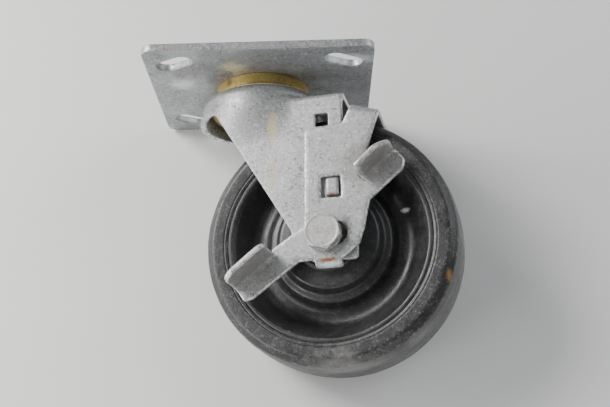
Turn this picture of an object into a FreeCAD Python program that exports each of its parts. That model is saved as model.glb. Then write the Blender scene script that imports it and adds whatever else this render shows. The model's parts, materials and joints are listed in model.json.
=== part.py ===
import FreeCAD, Part
import math
import os
import Sketcher

# Swivel top-plate caster with a side lever brake, in millimetres, +Z up.
# Origin: centre of the mounting plate's top face, on the swivel axis.
# Three frames are used, and each sub-part is drawn in the one that suits it:
#   plate: the part's own frame, long side of the plate along X;
#   fork:  the plate frame turned about Z by swivelAngle, X towards the wheel;
#   axle:  local Z along the axle, away from the brake lever, origin at the wheel's centre.

DIMENSIONS = {
    # mounting plate
    "plateLength": 114.3,
    "plateWidth": 101.6,
    "plateThick": 4.0,
    "plateCorner": 6.0,
    "slotOuterX": 46.04,
    "slotOuterY": 33.34,
    "slotInnerX": 38.1,
    "slotInnerY": 38.1,
    "slotRadius": 5.2,
    # swivel bearing
    "upperRaceRadius": 24.0,
    "upperRaceBottom": 11.2,
    "upperBallPitch": 17.5,
    "lowerBallPitch": 22.5,
    "swivelBallRadius": 2.5,
    "ballClearance": 0.2,
    "upperBallCount": 20,
    "lowerBallCount": 26,
    "lowerRaceRadius": 26.5,
    "lowerRaceLip": 18.5,
    "lowerRaceFoot": 12.5,
    "lowerRaceTop": 15.8,
    "lowerRaceBottom": 23.0,
    "kingpinRadius": 6.0,
    "kingpinHeadRadius": 9.6,
    "kingpinBottom": 34.0,
    "fitGap": 0.05,
    "kingpinWasherRadius": 11.5,
    "kingpinWasherThick": 2.0,
    "kingpinNutFlats": 19.0,
    "kingpinNutHeight": 7.0,
    # fork
    "swivelAngle": -12.4,
    "axleLead": 37.2,
    "axleDrop": 93.4,
    "sheetThick": 3.0,
    "crownTop": 12.0,
    "crownRadius": 31.5,
    "crownFillet": 5.5,
    "crownBore": 9.0,
    "rearTop": 20.6,
    "rearEnd": 46.9,
    "legInner": 23.5,
    "axleHoleRadius": 5.2,
    "crownTopFillet": 2.4,
    "legToeFillet": 4.0,
    "blendTop": 19.0,
    "blendOverlap": 1.5,
    "blendBottom": 45.0,
    "blendLeftTop": 21.8,
    "blendLeftBottom": 6.3,
    "blendRightTop": 17.0,
    "blendRightBottom": 24.0,
    "keyHoleX": 36.7,
    "keyHoleDrop": 34.8,
    "keyHoleSide": 6.5,
    # brake lever, outline points measured from the axle
    "leverGap": 0.2,
    "leverThick": 2.8,
    "pedalReach": 17.0,
    "pedalFillet": 5.0,
    "shoeDistance": 63.5,
    "shoeReach": 17.0,
    "shoeTilt": 17.0,
    "shoeBack": 5.3,
    "shoeFront": 9.7,
    "lugX": 4.4,
    "lugRise": 22.9,
    "lugWidth": 6.2,
    "lugHeight": 8.6,
    "lugProud": 3.4,
    "windowGap": 1.0,
    "windowPlay": 2.4,
    "boltSlotRadius": 5.9,
    "boltSlotBack": 0.6,
    "boltSlotFront": 4.9,
    "tabBack": 5.0,
    "tabFront": 8.0,
    "tabTop": 12.9,
    "tabOverlap": 3.0,
    "tabReach": 5.6,
    # wheel
    "wheelRadius": 62.5,
    "treadShoulder": 62.0,
    "treadHalf": 21.0,
    "cornerRise": 3.6,
    "tyreBore": 50.0,
    "rimInner": 48.3,
    "rimHalf": 20.0,
    "webOuter": 43.0,
    "webInner": 31.5,
    "webHalf": 8.5,
    "stepRadius": 29.5,
    "stepHalf": 13.5,
    "bossRadius": 25.0,
    "bossHalf": 20.5,
    "noseRadius": 15.0,
    "noseHalf": 22.2,
    "coreBore": 12.5,
    # wheel bearing
    "linerInner": 10.65,
    "linerHalf": 21.8,
    "sleeveOuter": 6.5,
    "sleeveInner": 5.15,
    "rollerRadius": 2.0,
    "rollerPitch": 8.55,
    "rollerLength": 36.0,
    "rollerCount": 10,
    "rollerGap": 0.12,
    "cageInner": 7.5,
    "cageOuter": 9.6,
    "cageHalf": 20.5,
    "thrustBore": 6.8,
    "thrustRadius": 13.5,
    "thrustInner": 22.4,
    "thrustThick": 0.9,
    # axle hardware
    "boltRadius": 5.0,
    "boltFlats": 16.0,
    "boltHeadHeight": 4.8,
    "springWasherRadius": 8.4,
    "springWasherThick": 0.6,
    "washerGap": 0.05,
    "washerRadius": 10.0,
    "washerThick": 1.8,
    "nutFlats": 16.0,
    "nutHeight": 8.0,
    "nutCollarRadius": 7.4,
    "nutCollarHeight": 2.0,
    "boltEndProud": 1.8,
    "hexChamfer": 0.9,
    "hexTrimEase": 0.1,
}

# Sizes that follow from the ones above, as sheet formulas.
DERIVED = {
    "plateHalfX": "=plateLength / 2",
    "plateHalfY": "=plateWidth / 2",
    "crownUnder": "=crownTop + sheetThick",
    "crownInside": "=crownRadius - sheetThick",
    "rearUnder": "=rearTop + sheetThick",
    "legOuter": "=legInner + sheetThick",
    "grooveRadius": "=swivelBallRadius + ballClearance",
    "upperBallDrop": "=(upperRaceBottom + crownTop) / 2",
    "lowerBallDrop": "=(crownUnder + lowerRaceTop) / 2",
    "kingpinBore": "=kingpinRadius + fitGap",
    "kingpinWasherFoot": "=lowerRaceBottom + kingpinWasherThick",
    "kingpinNutFoot": "=kingpinWasherFoot + kingpinNutHeight",
    "leverInner": "=legOuter + leverGap",
    "leverOuter": "=leverInner + leverThick",
    "shoeOuter": "=shoeDistance + leverThick",
    "headSeat": "=leverOuter + springWasherThick + 2 * washerGap",
    "headFace": "=headSeat + boltHeadHeight",
    "washerSeat": "=legOuter + washerGap",
    "nutSeat": "=washerSeat + washerThick + washerGap",
    "nutFace": "=nutSeat + nutHeight",
    "boltEnd": "=nutFace + nutCollarHeight + boltEndProud",
    "springWasherInner": "=leverOuter + washerGap",
    "springWasherOuter": "=springWasherInner + springWasherThick",
    "washerFace": "=washerSeat + washerThick",
    "thrustOuter": "=thrustInner + thrustThick",
    "hollowTop": "=crownUnder + crownTopFillet",
    "legFoot": "=axleDrop + wheelRadius",
    "keyHoleLeft": "=keyHoleX - keyHoleSide / 2",
    "keyHoleRight": "=keyHoleX + keyHoleSide / 2",
    "keyHoleHigh": "=keyHoleDrop - keyHoleSide / 2",
    "keyHoleLow": "=keyHoleDrop + keyHoleSide / 2",
    "lugLeft": "=axleLead + lugX - lugWidth / 2",
    "lugRight": "=axleLead + lugX + lugWidth / 2",
    "lugHigh": "=axleDrop - lugRise - lugHeight / 2",
    "lugLow": "=axleDrop - lugRise + lugHeight / 2",
    "windowLeft": "=lugLeft - windowPlay",
    "windowRight": "=lugRight + windowGap",
    "windowHigh": "=lugHigh - windowGap",
    "windowLow": "=lugLow + windowGap",
    "slotBackX": "=axleLead - boltSlotBack",
    "slotFrontX": "=axleLead + boltSlotFront",
    "tabLeft": "=axleLead - tabBack",
    "tabRight": "=axleLead + tabFront",
    "tabCeiling": "=axleDrop + tabTop",
    "tabFoot": "=tabCeiling + leverThick",
    "tabRoot": "=tabCeiling - tabOverlap",
    "sleeveHalf": "=legInner - washerGap",
    "linerOuter": "=coreBore - fitGap",
    "coreRadius": "=tyreBore - fitGap",
    "tyreCorner": "=treadHalf - cornerRise",
    "tyreCornerRadius": "=treadShoulder - cornerRise",
}

# Corner points across (towards the wheel's rear) and up. A number is measured from the axle,
# and a formula from the swivel axis and the plate's top face.
LEG_OUTLINE = [
    ("legBlendLeft", "-blendLeftBottom", "-blendBottom"),
    ("legAxleLeft", -17.3, 4.4),
    ("legToeLeft", -12.4, -9.0),
    ("legToeMiddle", 2.0, -12.3),
    ("legToeRight", 15.2, -12.3),
    ("legHeelRight", 15.6, 6.0),
    ("legWaistRight", 9.7, 42.0),
    ("legRearTop", "rearEnd", "-rearTop"),
    ("legBlendTop", "blendRightTop - blendOverlap", "-rearTop"),
    ("legBlendRight", "blendRightBottom - blendOverlap", "-blendBottom"),
]
LEVER_OUTLINE = [
    ("leverNotch", 10.3, 55.2),
    ("leverShoeLeft", "shoeBackHighX", "shoeBackHighZ"),
    ("leverShoeRight", "shoeFrontHighX", "shoeFrontHighZ"),
    ("leverFoldUpper", 17.3, 27.0),
    ("pedalUpperRoot", 32.7, 41.0),
    ("pedalUpperTip", 39.6, 33.0),
    ("pedalUpperHeel", 38.6, 28.6),
    ("leverWaist", 22.1, 14.7),
    ("leverHip", 19.0, 1.0),
    ("leverKnee", 16.6, -5.9),
    ("leverToe", 9.6, -11.4),
    ("armUnder", -12.7, -12.6),
    ("pedalLowerHeel", -34.9, -28.6),
    ("pedalLowerTip", -39.2, -29.9),
    ("pedalLowerRoot", -45.4, -21.3),
    ("leverFoldLower", -26.2, -6.1),
    ("armOver", -14.9, 1.4),
    ("leverLeft", -9.7, 4.4),
    ("leverShoulder", -8.6, 53.1),
]

# Fold lines of the two pedals, each from its lower-left to its upper-right end.
FOLDS = [("leverFoldUpper", "pedalUpperRoot"), ("pedalLowerRoot", "leverFoldLower")]

PLACES = {
    "plate": None,
    "fork": (
        "create(<<placement>>; create(<<vector>>; 0; 0; 0); "
        "create(<<rotation>>; dims.swivelAngle; 0; 0))"
    ),
    "axle": (
        "create(<<placement>>; create(<<vector>>; "
        "dims.axleLead * cos(dims.swivelAngle * 1 deg); "
        "dims.axleLead * sin(dims.swivelAngle * 1 deg); -dims.axleDrop); "
        "create(<<rotation>>; dims.swivelAngle; 0; -90))"
    ),
}

# How close two lengths are when they count as equal, and how far from the plate's
# corner point a corner edge's middle may lie, both for picking edges to round.
SAME = 0.01
CORNER_REACH = 1.0

doc = FreeCAD.newDocument("caster")
sheet = doc.addObject("Spreadsheet::Sheet", "dims")
subparts = []


def fill_sheet():
    """One row per size: its name as the alias, its value or formula as text."""
    cells = {name: str(value) for name, value in DIMENSIONS.items()}
    cells.update(DERIVED)
    for name, along, out in (("shoeBackLow", "-shoeBack", "shoeDistance"),
                             ("shoeFrontLow", "shoeFront", "shoeDistance"),
                             ("shoeFrontHigh", "shoeFront", "shoeOuter"),
                             ("shoeBackHigh", "-shoeBack", "shoeOuter")):
        turn = "(shoeTilt * 1 deg)"
        cells[name + "X"] = "=axleLead + %s * sin%s + (%s) * cos%s" % (out, turn, along, turn)
        cells[name + "Z"] = "=%s * cos%s - (%s) * sin%s - axleDrop" % (out, turn, along, turn)
    for name, across, rise in LEG_OUTLINE + LEVER_OUTLINE:
        measured = isinstance(across, str)
        cells[name + "X"] = "=" + across if measured else "=axleLead + (%s)" % across
        cells[name + "Z"] = "=" + rise if measured else "=%s - axleDrop" % rise
    for low, high in FOLDS:
        run, lift = "(%sX - %sX)" % (high, low), "(%sZ - %sZ)" % (high, low)
        span = "sqrt(%s^2 + %s^2)" % (run, lift)
        for end in (low, high):
            cells[end + "InX"] = "=%sX + leverThick * %s / %s" % (end, lift, span)
            cells[end + "InZ"] = "=%sZ - leverThick * %s / %s" % (end, run, span)
    for row, (name, text) in enumerate(cells.items(), start=1):
        sheet.set("A%d" % row, name)
        sheet.set("B%d" % row, text)
        sheet.setAlias("B%d" % row, name)
    doc.recompute()


def size(name):
    """A size from the sheet; a leading minus turns its sign."""
    if name == 0:
        return 0.0
    if name.startswith("-"):
        return -float(sheet.get(name[1:]))
    return float(sheet.get(name))


def formula(name):
    """The same size as an expression for setExpression."""
    if name == 0:
        return "0"
    if name.startswith("-"):
        return "-dims." + name[1:]
    return "dims." + name


def new_body(name, place):
    body = doc.addObject("PartDesign::Body", name)
    body.Label = name
    if PLACES[place]:
        body.setExpression("Placement", PLACES[place])
    subparts.append(body)
    return body


def new_sketch(body, plane, offset=0):
    """An empty sketch on one of the body's origin planes, moved along its normal."""
    sketch = body.newObject("Sketcher::SketchObject", body.Name + "_sketch")
    support = [f for f in body.Origin.OriginFeatures if f.Role == plane + "_Plane"][0]
    sketch.AttachmentSupport = (support, [""])
    sketch.MapMode = "FlatFace"
    if offset:
        sketch.setExpression("AttachmentOffset.Base.z", formula(offset))
    return sketch


def hold(sketch, kind, geometry, point, name):
    """Bind one coordinate of a sketch point to the sheet."""
    row = sketch.addConstraint(Sketcher.Constraint(kind, -1, 1, geometry, point, size(name)))
    if name:
        sketch.setExpression("Constraints[%d]" % row, formula(name))


def add_outline(sketch, corners):
    """A closed run of straight edges through corners given as pairs of sheet names."""
    spots = [FreeCAD.Vector(size(across), size(rise), 0) for across, rise in corners]
    first = sketch.GeometryCount
    count = len(corners)
    for k in range(count):
        sketch.addGeometry(Part.LineSegment(spots[k], spots[(k + 1) % count]))
    for k in range(count):
        following = first + (k + 1) % count
        sketch.addConstraint(Sketcher.Constraint("Coincident", first + k, 2, following, 1))
    for k, (across, rise) in enumerate(corners):
        hold(sketch, "DistanceX", first + k, 1, across)
        hold(sketch, "DistanceY", first + k, 1, rise)


def add_circle(sketch, across, rise, radius):
    centre = FreeCAD.Vector(size(across), size(rise), 0)
    ring = sketch.addGeometry(Part.Circle(centre, FreeCAD.Vector(0, 0, 1), size(radius)))
    row = sketch.addConstraint(Sketcher.Constraint("Radius", ring, size(radius)))
    sketch.setExpression("Constraints[%d]" % row, formula(radius))
    hold(sketch, "DistanceX", ring, 3, across)
    hold(sketch, "DistanceY", ring, 3, rise)


def add_slot(sketch, start, end, radius):
    """A slot with round ends centred on two points given as pairs of sheet names."""
    a = FreeCAD.Vector(size(start[0]), size(start[1]), 0)
    b = FreeCAD.Vector(size(end[0]), size(end[1]), 0)
    r = size(radius)
    way = math.atan2(b.y - a.y, b.x - a.x)
    side = FreeCAD.Vector(-math.sin(way), math.cos(way), 0) * r
    up = FreeCAD.Vector(0, 0, 1)
    quarter = math.pi / 2
    near = sketch.addGeometry(
        Part.ArcOfCircle(Part.Circle(a, up, r), way + quarter, way + 3 * quarter))
    far = sketch.addGeometry(
        Part.ArcOfCircle(Part.Circle(b, up, r), way - quarter, way + quarter))
    low = sketch.addGeometry(Part.LineSegment(a - side, b - side))
    high = sketch.addGeometry(Part.LineSegment(b + side, a + side))
    sketch.addConstraint(Sketcher.Constraint("Tangent", near, 2, low, 1))
    sketch.addConstraint(Sketcher.Constraint("Tangent", low, 2, far, 1))
    sketch.addConstraint(Sketcher.Constraint("Tangent", far, 2, high, 1))
    sketch.addConstraint(Sketcher.Constraint("Tangent", high, 2, near, 1))
    row = sketch.addConstraint(Sketcher.Constraint("Radius", near, r))
    sketch.setExpression("Constraints[%d]" % row, formula(radius))
    for arc, spot in ((near, start), (far, end)):
        hold(sketch, "DistanceX", arc, 3, spot[0])
        hold(sketch, "DistanceY", arc, 3, spot[1])


def pad(body, sketch, length, mid=False, back=False):
    feature = body.newObject("PartDesign::Pad", body.Name + "_pad")
    feature.Profile = sketch
    feature.setExpression("Length", length)
    feature.Midplane = mid
    feature.Reversed = back
    return feature


def pocket(body, sketch, length, mid=False, back=False):
    """A cut; the solid has to lose volume, or the cut points the wrong way."""
    doc.recompute()
    before = body.Shape.Volume
    feature = body.newObject("PartDesign::Pocket", body.Name + "_pocket")
    feature.Profile = sketch
    feature.setExpression("Length", length)
    feature.Midplane = mid
    feature.Reversed = back
    doc.recompute()
    if body.Shape.Volume >= before:
        raise RuntimeError(body.Name + ": a pocket cut nothing")
    return feature


def revolve(body, sketch, cut=False):
    """A full turn about the sketch's vertical axis, added or cut away."""
    kind = "PartDesign::Groove" if cut else "PartDesign::Revolution"
    if cut:
        doc.recompute()
        before = body.Shape.Volume
    feature = body.newObject(kind, body.Name + "_turned")
    feature.Profile = sketch
    feature.ReferenceAxis = (sketch, ["V_Axis"])
    feature.Angle = 360.0
    if cut:
        doc.recompute()
        if body.Shape.Volume >= before:
            raise RuntimeError(body.Name + ": a groove cut nothing")
    return feature


def round_edges(body, radius, wanted):
    """Fillet the edges that wanted(edge) picks on the body as it stands."""
    doc.recompute()
    base = body.Tip
    edges = base.Shape.Edges
    names = ["Edge%d" % (k + 1) for k, edge in enumerate(edges) if wanted(edge)]
    if not names:
        raise RuntimeError(body.Name + ": no edge to round")
    feature = body.newObject("PartDesign::Fillet", body.Name + "_fillet")
    feature.Base = (base, names)
    feature.setExpression("Radius", radius)
    doc.recompute()
    return feature


def turned(name, place, corners):
    """A body of revolution about its local Z, from a half section."""
    body = new_body(name, place)
    sketch = new_sketch(body, "XZ")
    add_outline(sketch, corners)
    revolve(body, sketch)
    return body


def tube(name, place, inner, outer, low, high):
    return turned(name, place, [(inner, low), (outer, low), (outer, high), (inner, high)])


def group(name, place, members):
    """Separate equal solids kept as one sub-part."""
    compound = doc.addObject("Part::Compound", name)
    compound.Label = name
    compound.Links = members
    if PLACES[place]:
        compound.setExpression("Placement", PLACES[place])
    subparts.append(compound)
    return compound


def mounting_plate():
    body = new_body("mounting_plate", "plate")
    sketch = new_sketch(body, "XY")
    x, y = "plateHalfX", "plateHalfY"
    add_outline(sketch, [("-" + x, "-" + y), (x, "-" + y), (x, y), ("-" + x, y)])
    pad(body, sketch, "dims.plateThick", back=True)
    corner = size("plateHalfX") + size("plateHalfY") - CORNER_REACH

    def at_corner(edge):
        middle = edge.CenterOfMass
        return abs(middle.x) + abs(middle.y) > corner

    round_edges(body, "dims.plateCorner", at_corner)
    slots = new_sketch(body, "XY")
    for sx in ("", "-"):
        for sy in ("", "-"):
            outer = (sx + "slotOuterX", sy + "slotOuterY")
            inner = (sx + "slotInnerX", sy + "slotInnerY")
            add_slot(slots, outer, inner, "slotRadius")
    pocket(body, slots, "dims.plateThick * 2", mid=True)
    seat = new_sketch(body, "XZ")
    add_outline(seat, [(0, 0), ("kingpinHeadRadius", 0), ("kingpinBore", "-plateThick"),
                       (0, "-plateThick")])
    revolve(body, seat, cut=True)


def swivel_races():
    """Upper race fixed under the plate, lower race hung on the kingpin."""
    upper = tube("upper_race", "plate", "kingpinBore", "upperRaceRadius",
                 "-upperRaceBottom", "-plateThick")
    track = new_sketch(upper, "XZ")
    add_circle(track, "upperBallPitch", "-upperBallDrop", "grooveRadius")
    revolve(upper, track, cut=True)
    lower = turned("lower_race", "plate", [
        ("kingpinBore", "-lowerRaceTop"), ("lowerRaceRadius", "-lowerRaceTop"),
        ("lowerRaceRadius", "-lowerRaceLip"), ("lowerRaceFoot", "-lowerRaceBottom"),
        ("kingpinBore", "-lowerRaceBottom")])
    track = new_sketch(lower, "XZ")
    add_circle(track, "lowerBallPitch", "-lowerBallDrop", "grooveRadius")
    revolve(lower, track, cut=True)


def ball_ring(name, pitch, drop, number):
    """Balls spaced evenly on a circle about the swivel axis."""
    balls = []
    for k in range(int(size(number))):
        ball = doc.addObject("Part::Sphere", "%s_%d" % (name, k + 1))
        ball.setExpression("Radius", "dims.swivelBallRadius")
        turn = "(%d * 360 deg / dims.%s)" % (k, number)
        ball.setExpression("Placement.Base.x", "dims.%s * cos(%s)" % (pitch, turn))
        ball.setExpression("Placement.Base.y", "dims.%s * sin(%s)" % (pitch, turn))
        ball.setExpression("Placement.Base.z", "-dims." + drop)
        balls.append(ball)
    group(name, "plate", balls)


def kingpin_set():
    turned("kingpin", "plate", [
        (0, 0), ("kingpinHeadRadius", 0), ("kingpinRadius", "-plateThick"),
        ("kingpinRadius", "-kingpinBottom"), (0, "-kingpinBottom")])
    tube("kingpin_washer", "plate", "kingpinBore", "kingpinWasherRadius",
         "-kingpinWasherFoot", "-lowerRaceBottom")
    hex_ring("kingpin_nut", "plate", "kingpinNutFlats", "kingpinBore",
             "-dims.kingpinNutFoot", "dims.kingpinNutHeight")


def hex_ring(name, place, flats, bore, base, height):
    """A hexagon of the given width across flats with a round bore, chamfered by a cone cut."""
    prism = doc.addObject("Part::Prism", name + "_hex")
    prism.Polygon = 6
    prism.setExpression("Circumradius", "dims.%s / 2 / cos(30 deg)" % flats)
    prism.setExpression("Height", height)
    prism.setExpression("Placement.Base.z", base)
    # a short double cone that trims the six corners at both ends
    trims = []
    for end in (0, 1):
        cone = doc.addObject("Part::Cone", "%s_trim%d" % (name, end))
        wide = "dims.%s / 2 / cos(30 deg) + dims.hexTrimEase" % flats
        narrow = wide + " - dims.hexChamfer * 2"
        cone.setExpression("Radius1", narrow if end == 0 else wide)
        cone.setExpression("Radius2", wide if end == 0 else narrow)
        cone.setExpression("Height", "(%s) / 2" % height)
        cone.setExpression("Placement.Base.z", "%s + %d * (%s) / 2" % (base, end, height))
        trims.append(cone)
    barrel = doc.addObject("Part::Fuse", name + "_barrel")
    barrel.Base = trims[0]
    barrel.Tool = trims[1]
    shaped = doc.addObject("Part::Common", name + "_shaped")
    shaped.Base = prism
    shaped.Tool = barrel
    if bore is None:
        return shaped
    hole = doc.addObject("Part::Cylinder", name + "_hole")
    hole.setExpression("Radius", "dims." + bore)
    hole.setExpression("Height", height)
    hole.setExpression("Placement.Base.z", base)
    ring = doc.addObject("Part::Cut", name)
    ring.Label = name
    ring.Base = shaped
    ring.Tool = hole
    if PLACES[place]:
        ring.setExpression("Placement", PLACES[place])
    subparts.append(ring)
    return ring


def fork_blend(body, side):
    """A loft from the crown's round skirt to the flat leg; side is -1 by the lever, +1 beyond."""
    middle, up = FreeCAD.Vector(0, 0, 0), FreeCAD.Vector(0, 0, 1)
    top = new_sketch(body, "XY", "-blendTop")
    ends = []
    for radius in ("crownRadius", "crownInside"):
        r = size(radius)
        left, right = [math.atan2(math.sqrt(r * r - x * x), x)
                       for x in (-size("blendLeftTop"), size("blendRightTop"))]
        start, stop = (right, left) if side > 0 else (-left, -right)
        arc = Part.ArcOfCircle(Part.Circle(middle, up, r), start, stop)
        top.addGeometry(arc)
        ends.append((arc.StartPoint, arc.EndPoint))
    top.addGeometry(Part.LineSegment(ends[0][0], ends[1][0]))
    top.addGeometry(Part.LineSegment(ends[0][1], ends[1][1]))
    for row in (0, 1):
        line = 2 + row
        top.addConstraint(Sketcher.Constraint("Coincident", 0, 1 + row, line, 1))
        top.addConstraint(Sketcher.Constraint("Coincident", 1, 1 + row, line, 2))
    for arc, radius in ((0, "crownRadius"), (1, "crownInside")):
        row = top.addConstraint(Sketcher.Constraint("Radius", arc, size(radius)))
        top.setExpression("Constraints[%d]" % row, formula(radius))
        top.addConstraint(Sketcher.Constraint("Coincident", arc, 3, -1, 1))
        for point in (1, 2):
            spot = ends[arc][point - 1]
            name = "blendRightTop" if spot.x > 0 else "-blendLeftTop"
            hold(top, "DistanceX", arc, point, name)
    foot = new_sketch(body, "XY", "-blendBottom")
    mark = "" if side > 0 else "-"
    outer, inner = mark + "legOuter", mark + "legInner"
    add_outline(foot, [("blendRightBottom", outer), ("-blendLeftBottom", outer),
                       ("-blendLeftBottom", inner), ("blendRightBottom", inner)])
    loft = body.newObject("PartDesign::AdditiveLoft", "fork_blend")
    loft.Profile = top
    loft.Sections = [foot]
    loft.Ruled = True
    doc.recompute()


def fork():
    """Pressed fork: round crown, channel behind it, two legs, pivot lug for the lever."""
    body = new_body("fork", "fork")
    crown = new_sketch(body, "XZ")
    add_outline(crown, [
        ("crownBore", "-crownTop"), ("crownRadius", "-crownTop"), ("crownRadius", "-rearUnder"),
        ("crownInside", "-rearUnder"), ("crownInside", "-crownUnder"), ("crownBore", "-crownUnder")])
    revolve(body, crown)

    def crown_rim(radius, drop):
        def picked(edge):
            box = edge.BoundBox
            return (abs(box.ZMax + size(drop)) < SAME and box.ZLength < SAME
                    and abs(box.XMax - size(radius)) < SAME)
        return picked

    round_edges(body, "dims.crownFillet", crown_rim("crownRadius", "crownTop"))
    round_edges(body, "dims.crownTopFillet", crown_rim("crownInside", "crownUnder"))
    side = new_sketch(body, "XZ")
    add_outline(side, [(name + "X", name + "Z") for name, across, rise in LEG_OUTLINE])
    pad(body, side, "dims.legOuter * 2", mid=True)
    inside = new_sketch(body, "XZ")
    reach = "axleDrop"
    add_outline(inside, [("-" + reach, "-rearUnder"), (reach, "-rearUnder"),
                         (reach, "-legFoot"), ("-" + reach, "-legFoot")])
    pocket(body, inside, "dims.legInner * 2", mid=True)
    for side_sign in (-1, 1):
        fork_blend(body, side_sign)
    hollow = new_sketch(body, "XZ")
    add_outline(hollow, [(0, "-hollowTop"), ("crownInside", "-hollowTop"),
                         ("crownInside", "-rearUnder"), (0, "-rearUnder")])
    revolve(body, hollow, cut=True)
    for pitch, drop in (("upperBallPitch", "upperBallDrop"), ("lowerBallPitch", "lowerBallDrop")):
        track = new_sketch(body, "XZ")
        add_circle(track, pitch, "-" + drop, "grooveRadius")
        revolve(body, track, cut=True)
    holes = new_sketch(body, "XZ")
    add_circle(holes, "axleLead", "-axleDrop", "axleHoleRadius")
    add_outline(holes, [("keyHoleLeft", "-keyHoleLow"), ("keyHoleRight", "-keyHoleLow"),
                        ("keyHoleRight", "-keyHoleHigh"), ("keyHoleLeft", "-keyHoleHigh")])
    pocket(body, holes, "dims.legOuter * 3", mid=True)
    lug = new_sketch(body, "XZ", "legInner")
    add_outline(lug, [("lugLeft", "-lugLow"), ("lugRight", "-lugLow"),
                      ("lugRight", "-lugHigh"), ("lugLeft", "-lugHigh")])
    pad(body, lug, "dims.sheetThick + dims.lugProud")

    def toe(edge):
        middle = edge.CenterOfMass
        across = edge.BoundBox.YLength > size("sheetThick") - SAME
        at_right = abs(middle.x - size("legToeRightX")) < SAME
        return across and at_right and abs(middle.z - size("legToeRightZ")) < SAME

    round_edges(body, "dims.legToeFillet", toe)


def brake_lever():
    """Flat rocker plate with two pedals, a shoe over the tread and a guide tab under the leg."""
    body = new_body("brake_lever", "fork")
    plate = new_sketch(body, "XZ", "leverInner")
    add_outline(plate, [(name + "X", name + "Z") for name, across, rise in LEVER_OUTLINE])
    pad(body, plate, "dims.leverThick")
    cuts = new_sketch(body, "XZ")
    add_slot(cuts, ("slotBackX", "-axleDrop"), ("slotFrontX", "-axleDrop"), "boltSlotRadius")
    add_outline(cuts, [("windowLeft", "-windowLow"), ("windowRight", "-windowLow"),
                       ("windowRight", "-windowHigh"), ("windowLeft", "-windowHigh")])
    pocket(body, cuts, "dims.leverOuter * 3", mid=True)
    for low, high in FOLDS:
        flap = new_sketch(body, "XZ", "leverInner")
        add_outline(flap, [(high + "X", high + "Z"), (low + "X", low + "Z"),
                           (low + "InX", low + "InZ"), (high + "InX", high + "InZ")])
        pad(body, flap, "dims.pedalReach + dims.leverThick")
    tip = size("leverInner") + size("pedalReach") + size("leverThick")

    def pedal_corner(edge):
        """The short edges, across the flap's thickness, at the two outer corners."""
        box = edge.BoundBox
        return abs(box.YMax + tip) < SAME and abs(edge.Length - size("leverThick")) < SAME

    round_edges(body, "dims.pedalFillet", pedal_corner)
    shoe = new_sketch(body, "XZ", "leverOuter")
    names = ["shoeBackLow", "shoeFrontLow", "shoeFrontHigh", "shoeBackHigh"]
    add_outline(shoe, [(name + "X", name + "Z") for name in names])
    pad(body, shoe, "dims.leverOuter + dims.shoeReach", back=True)
    tab = new_sketch(body, "XZ", "leverOuter")
    add_outline(tab, [("tabLeft", "-tabFoot"), ("tabRight", "-tabFoot"),
                      ("tabRight", "-tabRoot"), ("tabLeft", "-tabRoot")])
    pad(body, tab, "dims.leverThick")
    shelf = new_sketch(body, "XZ", "leverOuter")
    add_outline(shelf, [("tabLeft", "-tabFoot"), ("tabRight", "-tabFoot"),
                        ("tabRight", "-tabCeiling"), ("tabLeft", "-tabCeiling")])
    pad(body, shelf, "dims.tabReach", back=True)


def wheel():
    """Moulded core with a dished web, and the tread bonded round it."""
    half = [("coreBore", "noseHalf"), ("noseRadius", "noseHalf"), ("noseRadius", "bossHalf"),
            ("bossRadius", "bossHalf"), ("stepRadius", "stepHalf"), ("webInner", "webHalf"),
            ("webOuter", "webHalf"), ("rimInner", "rimHalf"), ("coreRadius", "rimHalf")]
    turned("wheel_core", "axle", half + [(r, "-" + z) for r, z in reversed(half)])
    half = [("tyreBore", "rimHalf"), ("tyreCornerRadius", "treadHalf"),
            ("treadShoulder", "tyreCorner")]
    tyre = half + [("wheelRadius", 0)] + [(r, "-" + z) for r, z in reversed(half)]
    turned("tread", "axle", tyre)


def wheel_bearing():
    tube("hub_liner", "axle", "linerInner", "linerOuter", "-linerHalf", "linerHalf")
    tube("axle_sleeve", "axle", "sleeveInner", "sleeveOuter", "-sleeveHalf", "sleeveHalf")
    tube("thrust_washer_near", "axle", "thrustBore", "thrustRadius",
         "-thrustOuter", "-thrustInner")
    tube("thrust_washer_far", "axle", "thrustBore", "thrustRadius",
         "thrustInner", "thrustOuter")
    rollers = []
    pockets = []
    for k in range(int(size("rollerCount"))):
        turn = "(%d * 360 deg / dims.rollerCount)" % k
        for kind, extra, store in (("roller", "0", rollers), ("pocket", "dims.rollerGap", pockets)):
            pin = doc.addObject("Part::Cylinder", "%s_%d" % (kind, k + 1))
            pin.setExpression("Radius", "dims.rollerRadius + " + extra)
            pin.setExpression("Height", "dims.rollerLength + 2 * " + extra)
            pin.setExpression("Placement.Base.x", "dims.rollerPitch * cos(%s)" % turn)
            pin.setExpression("Placement.Base.y", "dims.rollerPitch * sin(%s)" % turn)
            pin.setExpression("Placement.Base.z", "-dims.rollerLength / 2 - " + extra)
            store.append(pin)
    group("wheel_rollers", "axle", rollers)
    outside = doc.addObject("Part::Cylinder", "cage_outside")
    inside = doc.addObject("Part::Cylinder", "cage_inside")
    for shape, radius in ((outside, "cageOuter"), (inside, "cageInner")):
        shape.setExpression("Radius", "dims." + radius)
        shape.setExpression("Height", "dims.cageHalf * 2")
        shape.setExpression("Placement.Base.z", "-dims.cageHalf")
    windows = doc.addObject("Part::MultiFuse", "cage_windows")
    windows.Shapes = pockets + [inside]
    cage = doc.addObject("Part::Cut", "roller_cage")
    cage.Label = "roller_cage"
    cage.Base = outside
    cage.Tool = windows
    cage.setExpression("Placement", PLACES["axle"])
    subparts.append(cage)


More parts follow.
